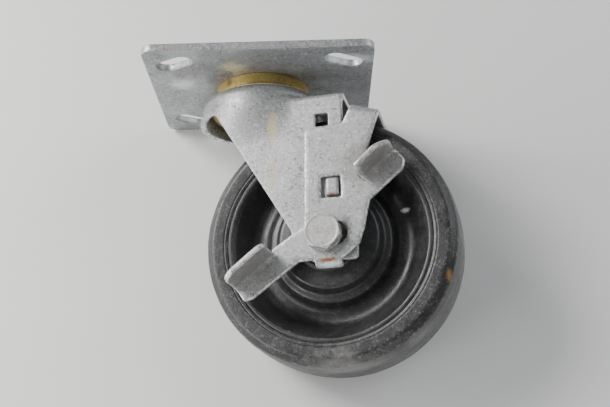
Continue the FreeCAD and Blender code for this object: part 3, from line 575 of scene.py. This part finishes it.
# Sheet outline with four slots. The middle hole narrows downwards as a countersink: points are
# drawn in towards the middle, most at the foot of the hole and not at all past sinkReach.
def buildPlate():
    x, y, r = plate["length"] / 2, plate["width"] / 2, plate["corner"]
    outline = roundedLoop([(-x, -y, r), (x, -y, r), (x, y, r), (-x, y, r)], 10)
    (ox, oy), (ix, iy) = plate["slotOuter"], plate["slotInner"]
    holes = [slotLoop((sx * ox, sy * oy), (sx * ix, sy * iy), plate["slotRadius"])
             for sx in (-1, 1) for sy in (-1, 1)]
    turn = np.linspace(0, 2 * math.pi, 48, endpoint=False)
    holes.append(np.stack([np.cos(turn), np.sin(turn)], 1) * plate["pinTop"])
    flat, height, faces, marks = sheetSurface(outline, holes, plate["thick"], plate["rim"], plate["gap"])
    radius = np.hypot(flat[:, 0], flat[:, 1])
    reach, wide, narrow = plate["sinkReach"], plate["pinTop"], plate["pinFoot"]
    fall = np.clip((reach - radius) / (reach - wide), 0, 1) * (1 - height / plate["thick"])
    flat = flat * (1 - fall * (wide - narrow) / np.maximum(radius, 1))[:, None]
    points = np.column_stack([flat, height - plate["thick"]])
    addPiece("mountingPlate", "mounting_plate", points, faces, marks, "plate", "plateSteel")


fork = {
    "low": (-36.0, -32.4, -107.4), "high": (54.5, 32.4, -10.6), "step": 0.6,
    "crown": 31.5, "top": 12.0, "crownFillet": 5.5, "sheet": 3.0, "leg": 26.5,
    "rearTop": 20.6, "rearBend": 3.2, "skirt": 23.6, "rear": 46.9,
    "blendFrom": 19.0, "blendTo": 45.0, "join": 3.2, "rim": 0.6,
    "channelFrom": 8.0, "edge": 0.4, "notch": 3.0, "bore": 9.0, "axleHole": 5.2,
    "keyHole": (36.7, -34.8, 6.5), "keyCorner": 0.8,            # X, Z and side
    "lug": (4.4, 22.9, 6.2, 8.6, 3.4), "lugRound": 1.0,         # X, Z from the axle, wide, tall, proud
    "lugFillet": 0.9, "legCorner": 2.2, "wearReach": 1.4,
    "tracks": ((17.5, -11.6), (22.5, -15.4)), "track": 2.7,     # ball rings' radius and height
}
# Corners of a leg's outline; the middle ones are measured from the axle.
legOutline = [(-26.6, -11.0), (-6.3, -45.0)]
legOutline += [(axleX + a, axleZ + b) for a, b in [(-17.3, 4.4), (-12.4, -9.0), (2.0, -12.3),
                                                   (15.2, -12.3), (15.6, 6.0), (9.7, 42.0)]]
legOutline += [(46.9, -11.0)]


# Meeting of two fields with the convex edge rounded.
def roundMax(a, b, r):
    return np.minimum(np.maximum(a, b), -r) + np.hypot(np.maximum(a + r, 0), np.maximum(b + r, 0))


# Joining of two fields with the hollow between them filled by a fillet.
def softMin(a, b, k):
    h = np.maximum(k - np.abs(a - b), 0) / k
    return np.minimum(a, b) - h * h * k / 4


# Signed distance to a polygon drawn in by r, less r, which rounds its corners.
def polygonField(x, z, corners, r):
    spots = np.array(corners, float)
    if loopArea(spots) < 0:
        spots = spots[::-1]
    step = np.roll(spots, -1, 0) - spots
    step /= np.linalg.norm(step, axis=1)[:, None]
    side = np.stack([-step[:, 1], step[:, 0]], 1)
    last = np.roll(side, 1, 0)
    spots = spots + (side + last) * (r / (1 + (side * last).sum(1)))[:, None]
    best = None
    sign = np.ones(np.broadcast(x, z).shape)
    for a, b in zip(spots, np.roll(spots, -1, 0)):
        run = b - a
        share = np.clip(((x - a[0]) * run[0] + (z - a[1]) * run[1]) / (run @ run), 0, 1)
        away = np.hypot(x - a[0] - share * run[0], z - a[1] - share * run[1])
        best = away if best is None else np.minimum(best, away)
        over = (a[1] > z) != (b[1] > z)
        rise = run[1] if run[1] else 1e-9
        sign = np.where(over & (x < a[0] + (z - a[1]) / rise * run[0]), -sign, sign)
    return best * sign - r


# Signed distance to a box with rounded edges, from the places along its axes and its half sizes.
def boxField(places, halves, r):
    over = [np.abs(place) - half + r for place, half in zip(places, halves)]
    outside = np.sqrt(sum(np.maximum(part, 0) ** 2 for part in over))
    deepest = over[0]
    for part in over[1:]:
        deepest = np.maximum(deepest, part)
    return outside + np.minimum(deepest, 0) - r


# Side outline of the pressing: the leg and the skirt round the crown, joined by a fillet.
def sideField(x, z):
    legs = polygonField(x, z, legOutline, fork["legCorner"])
    skirt = np.maximum(-fork["skirt"] - z, x - fork["rear"])
    return softMin(legs, skirt, fork["notch"])


# Distance field of the pressed fork. Outside: the round drum of the crown, whose section turns
# step by step into the slab of the legs, joined to the channel behind it. The sheet is what lies
# less than its thickness inside that, cut to the side outline, the skirt, the bore and the holes.
def forkField(x, y, z):
    radius = np.hypot(x, y)
    turn = np.clip((-fork["blendFrom"] - z) / (fork["blendTo"] - fork["blendFrom"]), 0, 1)
    turn = turn * turn * (3 - 2 * turn)
    wall = (1 - turn) * (radius - fork["crown"]) + turn * (np.abs(y) - fork["leg"])
    drum = roundMax(wall, z + fork["top"], fork["crownFillet"])
    channel = roundMax(np.abs(y) - fork["leg"], z + fork["rearTop"], fork["rearBend"])
    channel = np.maximum(channel, fork["channelFrom"] - x)
    outer = softMin(drum, channel, fork["join"] * (1 - turn) + 0.02)
    edge = fork["edge"]
    sheet = roundMax(outer, -(outer + fork["sheet"]), edge)
    solid = roundMax(sheet, sideField(x, z), fork["rim"])
    solid = roundMax(solid, fork["bore"] - radius, edge)
    for reach, drop in fork["tracks"]:
        solid = np.maximum(solid, fork["track"] - np.hypot(radius - reach, z - drop))
    solid = roundMax(solid, fork["axleHole"] - np.hypot(x - axleX, z - axleZ), edge)
    keyX, keyZ, side = fork["keyHole"]
    key = boxField([x - keyX, z - keyZ], [side / 2, side / 2], fork["keyCorner"])
    solid = roundMax(solid, -key, edge)
    lugX, lugZ, wide, tall, proud = fork["lug"]
    bury = fork["lugRound"]
    lug = boxField([x - axleX - lugX, y + fork["leg"] - bury + (proud + bury) / 2, z - axleZ - lugZ],
                   [wide / 2, (proud + bury) / 2, tall / 2], bury)
    return softMin(solid, lug, fork["lugFillet"])


# Zero level of a field on a grid: one point for every cell that it crosses, at the mean of
# the crossings of the cell's edges, then drawn on to the level along the field's slope.
def netSurface(field, low, high, step):
    x, y, z = [np.arange(a, b + step, step) for a, b in zip(low, high)]
    values = field(x[:, None, None], y[None, :, None], z[None, None, :])
    inside = values < 0
    count = sum(inside[tuple(slice(k, k + n - 1) for k, n in zip(corner, inside.shape))].astype(int)
                for corner in np.ndindex(2, 2, 2))
    cells = np.argwhere((count > 0) & (count < 8))
    number = np.full(count.shape, -1)
    number[tuple(cells.T)] = np.arange(len(cells))
    total, hits = np.zeros((len(cells), 3)), np.zeros(len(cells))
    for axis in range(3):
        others = [k for k in range(3) if k != axis]
        for p in (0, 1):
            for q in (0, 1):
                near = cells.copy()
                near[:, others[0]] += p
                near[:, others[1]] += q
                far = near.copy()
                far[:, axis] += 1
                a, b = values[tuple(near.T)], values[tuple(far.T)]
                cross = (a < 0) != (b < 0)
                share = np.where(cross, a / np.where(cross, a - b, 1), 0)
                total[:, axis] += np.where(cross, share + near[:, axis], 0)
                total[:, others[0]] += np.where(cross, near[:, others[0]], 0)
                total[:, others[1]] += np.where(cross, near[:, others[1]], 0)
                hits += cross
    points = total / hits[:, None] * step + np.array([x[0], y[0], z[0]])
    small, longest = 0.02, 0.3
    for _ in range(4):
        here = field(*points.T)
        slope = np.stack([field(*(points + small * way).T) - here for way in np.eye(3)], 1) / small
        steep = np.maximum((slope ** 2).sum(1), 0.2)
        points = points - (np.clip(here, -longest, longest) / steep)[:, None] * slope
    faces = []
    for axis in range(3):
        one, two = (axis + 1) % 3, (axis + 2) % 3
        a = np.argwhere(np.take(inside, range(inside.shape[axis] - 1), axis)
                        != np.take(inside, range(1, inside.shape[axis]), axis))
        a = a[(a[:, one] > 0) & (a[:, two] > 0)
              & (a[:, one] < count.shape[one]) & (a[:, two] < count.shape[two])]
        ring = []
        for p, q in ((1, 1), (0, 1), (0, 0), (1, 0)):
            cell = a.copy()
            cell[:, one] -= p
            cell[:, two] -= q
            ring.append(number[tuple(cell.T)])
        ring = np.stack(ring, 1)
        out = inside[tuple(a.T)]
        faces.append(np.where(out[:, None], ring, ring[:, ::-1]))
    return points, np.concatenate(faces)


# The zero level of the fork's field, with its edge value from the distance to the side outline.
def buildFork():
    points, faces = netSurface(forkField, fork["low"], fork["high"], fork["step"])
    away = np.abs(sideField(points[:, 0], points[:, 2]))
    marks = np.clip(1.0 - away / fork["wearReach"], 0, 1)
    addPiece("forkPressing", "fork", forkToPlate(points), faces.tolist(), marks, "fork",
             "forkSteel", turn=60)


# Places are measured from the axle along fork X and Z. A fold line has its two ends and the
# slant of its flap in degrees.
lever = {
    "inner": 26.7, "thick": 2.8, "rim": 0.95, "gap": 1.5,
    "slot": (5.9, -0.6, 4.9), "window": (-1.1, 8.5, 17.6, 28.2), "windowCorner": 0.8,
    "upperFold": ((17.3, 27.0), (32.7, 41.0), 69.02), "lowerFold": ((-45.4, -21.3), (-26.2, -6.1), -12),
    "reach": 17.0, "pedalCorner": 5.0, "pedalBend": 2.6,
    "shoeTilt": 17.0, "shoeFace": 63.5, "shoeBack": 5.3, "shoeFront": 9.7, "shoeReach": 17.0,
    "shoeCorner": 3.0, "shoeBend": 1.4, "tab": (-5.0, 8.0, -15.7), "tabReach": 5.6, "tabBend": 0.6,
}


# One fold: the line that its outer face ends up on, the way across it in the blank, its inner
# bend radius, the side it turns to and how high it stands. The blank is as long as the bend's
# neutral quarter circle and the straight part after it.
def foldFrame(start, end, slant, bend, side, rise):
    a, b = np.array(start, float), np.array(end, float)
    along = (b - a) / np.linalg.norm(b - a)
    beyond = np.array([-along[1], along[0]])
    outer = bend + lever["thick"]
    turn = math.radians(slant)
    across = beyond * math.cos(turn) + along * math.sin(turn)
    neutral = bend + lever["thick"] / 2
    return {"base": a - beyond * outer, "along": along, "beyond": beyond, "across": across,
            "length": float(np.linalg.norm(b - a)), "bend": bend, "side": side,
            "neutral": neutral, "blank": neutral * math.pi / 2 + rise - outer}


# Rolls the blank beyond the fold's base line round its bend, then straight up: a point h past
# the line goes to the angle h over the neutral radius, at its own layer's radius.
def foldPoints(flat, height, fold):
    thick = lever["thick"]
    basis = np.stack([fold["along"], fold["across"]], 1)
    skew = np.linalg.solve(basis, (flat - fold["base"]).T)
    s, h = skew[0], skew[1]
    chosen = (h > 1e-6) & (s > -0.02) & (s < fold["length"] + 0.02)
    layer = (thick - height) if fold["side"] > 0 else height
    angle = np.clip(h / fold["neutral"], 0, math.pi / 2)
    extra = np.maximum(h - fold["neutral"] * math.pi / 2, 0)
    radius = fold["bend"] + layer
    out = radius * np.sin(angle)
    rise = (fold["bend"] + thick) - radius * np.cos(angle) + extra
    lifted = rise if fold["side"] > 0 else thick - rise
    moved = fold["base"] + s[:, None] * fold["along"] + out[:, None] * fold["beyond"]
    return np.where(chosen[:, None], moved, flat), np.where(chosen, lifted, height)


# Blank corners of a flap, from one end of its fold round to the other.
def flapCorners(fold, corner):
    near, along, across = fold["base"], fold["along"], fold["across"]
    far = near + along * fold["length"]
    return [(*near, 0), (*(near + across * fold["blank"]), corner),
            (*(far + across * fold["blank"]), corner), (*far, 0)]


# Rows of extra points across a bend, so that it rolls smoothly.
def bendSeeds(fold):
    s = np.arange(0.6, fold["length"] - 0.5, 1.0)
    h = np.linspace(0, fold["neutral"] * math.pi / 2, 8)
    s, h = [part.ravel() for part in np.meshgrid(s, h)]
    return fold["base"] + s[:, None] * fold["along"] + h[:, None] * fold["across"]


# The flat blank, flaps included, then each fold rolls its own part of it.
def buildLever():
    tilt, thick = math.radians(lever["shoeTilt"]), lever["thick"]

    # A place on the shoe's fold line, which is square to a radius of the wheel.
    def shoeSpot(along):
        out = lever["shoeFace"] + thick
        return (out * math.sin(tilt) + along * math.cos(tilt),
                out * math.cos(tilt) - along * math.sin(tilt))

    rise = lever["reach"] + thick
    upper = foldFrame(*lever["upperFold"], lever["pedalBend"], 1, rise)
    lower = foldFrame(*lever["lowerFold"], lever["pedalBend"], 1, rise)
    shoe = foldFrame(shoeSpot(-lever["shoeBack"]), shoeSpot(lever["shoeFront"]), 0,
                     lever["shoeBend"], -1, lever["inner"] + thick + lever["shoeReach"])
    left, right, foot = lever["tab"]
    tab = foldFrame((right, foot), (left, foot), 0, lever["tabBend"], -1, lever["tabReach"])
    outline = [(10.3, 55.2, 0)] + flapCorners(shoe, lever["shoeCorner"])
    outline += [(17.3, 27.0, 0)] + flapCorners(upper, lever["pedalCorner"])
    outline += [(39.6, 33.0, 3.0), (38.6, 28.6, 2.5), (22.1, 14.7, 2.0), (19.0, 1.0, 3.0),
                (16.6, -5.9, 4.0), (9.6, -11.4, 2.0)] + flapCorners(tab, 0)
    outline += [(-12.7, -12.6, 3.0), (-34.9, -28.6, 3.0), (-39.2, -29.9, 1.5)]
    outline += flapCorners(lower, lever["pedalCorner"])
    outline += [(-26.2, -6.1, 0), (-14.9, 1.4, 2.0), (-9.7, 4.4, 0), (-8.6, 53.1, 2.5)]
    least = lever["rim"] + 0.3   # a tighter corner would fold the rim's inner line over itself
    outline = [(x, y, max(radius, least)) for x, y, radius in outline]
    r, back, front = lever["slot"]
    west, east, low, high = lever["window"]
    places = [(west, low), (east, low), (east, high), (west, high)]
    window = [(*place, lever["windowCorner"]) for place in places]
    folds = [upper, lower, shoe, tab]
    extra = np.concatenate([bendSeeds(fold) for fold in folds])
    flat, height, faces, marks = sheetSurface(
        roundedLoop(outline), [slotLoop((back, 0), (front, 0), r), roundedLoop(window, 4)], thick,
        lever["rim"], lever["gap"], extra)
    for fold in folds:
        flat, height = foldPoints(flat, height, fold)
    points = np.column_stack([flat[:, 0] + axleX, -(lever["inner"] + height), flat[:, 1] + axleZ])
    addPiece("brakeLever", "brake_lever", forkToPlate(points), faces, marks, "brake",
             "leverSteel", turn=50)


# Sections are corners of radius, height, fillet and, where it isn't whole, share of wear.
races = {
    # The upper race wears only on its lower outer edge, where the bright wear colour is also a painted
    # highlight.
    "upper": [(6.05, -4.0, 0), (24.0, -4.0, 0.3, 0), (24.0, -9.0, 0.3, 0), (23.4, -9.3, 0.15, 0),
              (24.1, -9.8, 0.4), (24.0, -10.6, 0.4), (22.8, -11.2, 0.5, 0), (6.05, -11.2, 0)],
    "lower": [(6.05, -15.8, 0), (26.2, -15.8, 0.5), (26.5, -18.3, 1.2), (20.5, -20.9, 6.0),
              (12.5, -23.0, 1.5), (6.05, -23.0, 0)],
    "gap": 1.5,
}
kingpin = {
    "head": [(0.001, -0.25, 0), (4.2, -0.25, 1.0), (5.4, -0.55, 0.8), (7.2, -0.2, 0.8),
             (9.55, -0.05, 0.25), (6.0, -4.0, 0.3), (6.0, -33.0, 0.2), (5.0, -34.0, 0.2),
             (0.001, -34.0, 0)],
    "washer": [(6.05, -23.0, 0.1), (11.5, -23.0, 0.35), (11.5, -25.0, 0.35), (6.05, -25.0, 0.1)],
    "nut": [(5.9, -25.0, 0), (9.4, -25.0, 0.1), (11.2, -26.0, 0.3), (11.2, -31.0, 0.3),
            (9.4, -32.0, 0.1), (5.9, -32.0, 0)],
    "nutFlats": 19.0, "shank": 6.0, "pitch": 1.5, "depth": 0.42, "threadFrom": -25.5, "threadTo": -33.2,
}


# The way from a body's own turned pieces to the plate frame.
def placeOf(body):
    return plateToPlate if body == "plate" else axleToPlate


# A half section with rounded corners, turned about the local axis.
def turnedPiece(name, node, corners, body, finish, turns=96, gap=None, ripple=None):
    profile = roundedLoop(corners)
    if gap:
        profile = fineLoop(profile, gap)
    points, faces = lathe(profile, turns, ripple)
    addPiece(name, node, placeOf(body)(points), faces, cornerMarks(corners, profile, turns), body,
             finish, merge=True)


# Thread as a saw tooth that climbs one pitch a turn on the shank's lower part.
def pinThread(radius, height, angle):
    phase = (height / kingpin["pitch"] + angle / (2 * math.pi)) % 1.0
    tooth = np.abs(phase - 0.5) * 2
    shank = np.abs(radius - kingpin["shank"]) < 0.3
    shank &= (height < kingpin["threadFrom"]) & (height > kingpin["threadTo"])
    return radius - np.where(shank, kingpin["depth"] * tooth, 0), height


hexagonal = {"turns": 144, "gap": 0.7, "blunt": 0.12, "keep": 0.35, "wearFrom": 0.5, "wearReach": 1.4}


# A turned section whose radius is held inside a hexagon with softened corners: the hexagon's
# radius at an angle is half the flats over the cosine of the angle to the nearest flat's middle.
def hexPiece(name, node, corners, flats, body, turnBy=0.0):
    profile = fineLoop(roundedLoop(corners), hexagonal["gap"])
    angle = np.linspace(0, 2 * math.pi, hexagonal["turns"], endpoint=False)
    within = (angle + math.pi / 6) % (math.pi / 3) - math.pi / 6
    hexagon = flats / 2 / np.cos(within)
    peak = flats / 2 / math.cos(math.pi / 6) - hexagonal["blunt"]
    hexagon = np.minimum(hexagon, peak + (hexagon - peak) * hexagonal["keep"])
    radius = np.minimum(profile[:, 0][:, None], hexagon[None])
    turned = angle + math.radians(turnBy)
    height = profile[:, 1][:, None] + 0 * angle
    points = np.stack([radius * np.cos(turned), radius * np.sin(turned), height], -1).reshape(-1, 3)
    away = np.abs(radius.ravel() - flats / 2 - hexagonal["wearFrom"])
    addPiece(name, node, placeOf(body)(points), gridFaces(len(profile), len(angle), True).tolist(),
             np.clip(1 - away / hexagonal["wearReach"], 0, 1), body, "zincHardware", merge=True, turn=30)


axleBolt = {
    "flats": 16.0,
    "section": [(0.001, -34.85, 0), (6.8, -34.85, 0.5), (7.9, -35.0, 0.5), (9.5, -34.4, 0.4),
                (9.5, -30.6, 0.2), (8.9, -30.2, 0.2), (5.0, -30.2, 0.1), (5.0, 39.2, 0.3),
                (4.3, 40.2, 0.2), (0.001, 40.2, 0)],
    "turn": 14.0,
}
axleNut = {
    "flats": 16.0, "turn": 7.0,
    "section": [(5.05, 28.4, 0), (7.8, 28.4, 0.2), (9.3, 29.3, 0.3), (9.3, 35.6, 0.3),
                (7.6, 36.4, 0.3), (7.2, 38.4, 1.0), (5.6, 38.4, 0.4), (5.05, 37.6, 0.2)],
}
washers = {
    "springWasher": ("axle_spring_washer", [(5.2, -30.15, 0.1), (8.4, -30.15, 0.2), (8.4, -29.55, 0.2),
                                            (5.2, -29.55, 0.1)]),
    "farWasher": ("axle_washer", [(5.2, 26.55, 0.2), (10.0, 26.55, 0.3), (10.0, 28.35, 0.5),
                                  (5.2, 28.35, 0.3)]),
    "thrustWasherNear": ("thrust_washer_near", [(6.8, -23.3, 0.1), (13.5, -23.3, 0.3),
                                                (13.5, -22.4, 0.3), (6.8, -22.4, 0.1)]),
    "thrustWasherFar": ("thrust_washer_far", [(6.8, 22.4, 0.1), (13.5, 22.4, 0.3),
                                              (13.5, 23.3, 0.3), (6.8, 23.3, 0.1)]),
}

core = {
    "half": [(12.5, 22.2, 0.2, 0), (15.0, 22.2, 0.8, 0), (15.8, 21.0, 0.8, 0), (24.3, 20.4, 1.8, 0.75),
             (26.2, 15.2, 2.0, 0), (29.8, 14.2, 2.4, 0.9), (32.4, 8.6, 4.5, 0), (39.6, 8.0, 11.0, 0),
             (46.4, 18.4, 5.0, 0), (47.9, 20.0, 1.2, 0.85), (49.2, 20.1, 0.4, 0),
             (49.6, 19.8, 0.2, 0), (49.95, 19.8, 0.05, 0)],
    "turns": 160, "gap": 1.1,
}
tyre = {
    "half": [(50.0, 19.8, 0.05, 0), (50.3, 20.2, 0.3, 0), (51.5, 20.5, 0.4, 0),
             (51.9, 20.25, 0.3, 0), (52.4, 20.6, 0.4, 0.7), (58.0, 20.95, 2.6, 0.85),
             (61.4, 17.8, 3.0, 1.0), (62.2, 12.0, 9.0, 0), (62.45, 4.0, 8.0, 0)],
    "turns": 240, "gap": 1.1, "dent": 0.16,
}


# The half section and its mirror image below the middle plane.
def mirrored(half):
    return half + [(c[0], -c[1], *c[2:]) for c in reversed(half)]


# Flat worn patches and shallow nicks: sums of sines round the rim and across it.
def tyreDents(radius, height, angle):
    rim = np.clip((radius - 55) / 6, 0, 1)
    wave = (np.sin(angle * 3 + 0.4) + np.sin(angle * 7 + height * 0.21)
            + 0.7 * np.sin(angle * 17 + height * 0.5) + 0.5 * np.sin(angle * 41 - height * 0.9)) / 3.2
    return radius - rim * tyre["dent"] * (1 + wave), height


print("shapes described")


# A place in the fork frame, in millimetres, as metres in the plate frame.
def forkSpot(x, y, z):
    return tuple(forkToPlate(np.array([[x, y, z]]))[0] / 1000)


# A place measured from the wheel's centre along fork X, Y and Z.
def wheelSpot(x, y, z):
    return forkSpot(axleX + x, y, axleZ + z)


# Patch colours: rust; grime and painted shade; painted shade on the pedal flaps.
rustTint, grimeAndShadeTint, flapShadeTint = rgb(0.17, 0.07, 0.03), rgb(0.09, 0.08, 0.07), rgb(0.15, 0.14, 0.125)
# Yellow passivation; white bloom and painted highlight.
passivateTint, whiteBloomAndHighlight = rgb(0.42, 0.35, 0.17), rgb(0.74, 0.79, 0.84)
# By material, each patch's centre in metres, radius, stretch, colour, strength and roughness.
# Most are stains; those marked below are painted shade or painted highlight.
stainsAndPaintedLight = {
    "forkSteel": [
        (forkSpot(12, -26.5, -36), 0.0070, (2.0, 1, 0.6), passivateTint, 0.7, 0.5),
        (forkSpot(12, -26.5, -62), 0.0060, (2.2, 1, 0.6), passivateTint, 0.55, 0.5),
        # Darker patch on the upper part of the near leg.
        (forkSpot(5, -26.5, -33), 0.0050, (1.6, 1, 0.7), grimeAndShadeTint, 0.35, 0.6),
        (wheelSpot(4.4, -29.5, 18.4), 0.0030, (0.8, 0.6, 1.6), rustTint, 0.9, 0.8),
        # Painted shade and grime on the leg inside the end of the lever's slot, beside the bolt head.
        (wheelSpot(10.5, -26.5, 0.0), 0.0060, (1.2, 0.3, 0.8), grimeAndShadeTint, 0.95, 0.7),
        # Painted shade inside the crown's skirt.
        (forkSpot(-20, -12, -24), 0.0080, (1, 1, 1), grimeAndShadeTint, 0.6, 0.7),
        (forkSpot(38.6, -24.5, -36.5), 0.0026, (0.8, 0.6, 1), passivateTint, 0.9, 0.7),
    ],
    "leverSteel": [
        (wheelSpot(1.5, -27.5, -16.6), 0.0060, (0.8, 0.6, 1), whiteBloomAndHighlight, 0.75, 0.6),
        (wheelSpot(1.5, -29.0, -12.9), 0.0070, (0.9, 0.5, 4.0), rustTint, 1.0, 0.8),
        # Painted shade and grime on the lever round the right of the bolt head.
        (wheelSpot(10.0, -29.5, 1.5), 0.0056, (1.3, 1, 0.7), grimeAndShadeTint, 0.85, 0.7),
        (wheelSpot(1.8, -27.0, 17.6), 0.0030, (0.7, 1, 1.8), rustTint, 0.55, 0.8),
        # Painted shade on the inner faces of the two pedal flaps.
        (wheelSpot(23.0, -35.0, 35.0), 0.0190, (1, 0.95, 1), flapShadeTint, 0.85, 0.6),
        (wheelSpot(-38.0, -35.0, -12.5), 0.0200, (1, 0.95, 1), flapShadeTint, 0.75, 0.6),
    ],
    "plateSteel": [
        ((-0.014, -0.031, -0.004), 0.0080, (0.8, 1, 1), rgb(0.56, 0.52, 0.30), 0.75, 0.5),
        ((-0.019, -0.022, -0.004), 0.0035, (1, 1, 1), rustTint, 0.7, 0.8),
        # Painted highlight on the plate's left and a painted reflection at its right end.
        ((-0.041, -0.012, -0.004), 0.0080, (0.8, 1, 1), whiteBloomAndHighlight, 0.6, 0.5),
        ((0.045, -0.036, -0.004), 0.0100, (0.6, 1.2, 1), whiteBloomAndHighlight, 0.6, 0.5),
        # Painted shade on the plate to the right and left of the ring.
        ((0.030, -0.020, -0.004), 0.0130, (0.7, 1.2, 1), grimeAndShadeTint, 0.45, 0.5),
        ((-0.036, -0.030, -0.004), 0.0170, (0.8, 1.2, 1), grimeAndShadeTint, 0.40, 0.5),
    ],
    "yellowZinc": [
        ((-0.0165, -0.0175, -0.006), 0.0035, (1, 1, 1), rustTint, 0.8, 0.8),
        # Darker patch on the upper race's lower edge, right of the front.
        ((0.010, -0.022, -0.010), 0.0040, (0.6, 1, 1), grimeAndShadeTint, 0.4, 0.6),
    ],
    "wheelCoreBlack": [
        (wheelSpot(36, -8.6, 14), 0.0024, (0.8, 0.5, 1.5), rgb(0.75, 0.75, 0.72), 1.0, 0.7),
    ],
    "treadRubber": [
        (wheelSpot(56, -19.5, -22), 0.0030, (1.4, 0.6, 0.7), rgb(0.30, 0.16, 0.03), 0.75, 0.7),
        (wheelSpot(8, -13, -62), 0.0170, (0.6, 1.4, 1), rgb(0.20, 0.195, 0.185), 0.55, 0.7),
        (wheelSpot(40, -10, -48), 0.0120, (1, 1.2, 1), rgb(0.16, 0.155, 0.15), 0.45, 0.7),
    ],
}
# The fork and the lever share a finish, each with its own stains and patches of painted shade.
finishes["forkSteel"] = finishes["leverSteel"] = finishes.pop("galvanisedSteel")
materials = {name: finishMaterial(name, values, stainsAndPaintedLight.get(name, ())) for name, values in finishes.items()}

buildPlate()
turnedPiece("upperRace", "upper_race", races["upper"], "plate", "yellowZinc", gap=races["gap"])
turnedPiece("lowerRace", "lower_race", races["lower"], "plate", "yellowZinc", gap=races["gap"])
turnedPiece("kingpin", "kingpin", kingpin["head"], "plate", "zincHardware", 72, 0.3, pinThread)
turnedPiece("kingpinWasher", "kingpin_washer", kingpin["washer"], "plate", "zincHardware", 64)
hexPiece("kingpinNut", "kingpin_nut", kingpin["nut"], kingpin["nutFlats"], "plate")
buildFork()
buildLever()
hexPiece("axleBolt", "axle_bolt", axleBolt["section"], axleBolt["flats"], "fork", axleBolt["turn"])
hexPiece("axleNut", "axle_nut", axleNut["section"], axleNut["flats"], "fork", axleNut["turn"])
for name, (node, section) in washers.items():
    turnedPiece(name, node, section, "fork", "zincHardware", 72)
turnedPiece("wheelCore", "wheel_core", mirrored(core["half"]), "wheel", "wheelCoreBlack",
            core["turns"], core["gap"])
turnedPiece("tread", "tread", mirrored(tyre["half"]), "wheel", "treadRubber",
            tyre["turns"], tyre["gap"], tyreDents)
print("pieces made")

kept = {"upper_balls": "bearingSteel", "lower_balls": "bearingSteel", "hub_liner": "bearingSteel",
        "wheel_rollers": "bearingSteel", "axle_sleeve": "zincHardware", "roller_cage": "cageNylon"}
for node, finish in kept.items():
    mesh = frame["nodes"][node].data
    mesh.materials.clear()
    mesh.materials.append(materials[finish])
print("finishes given")
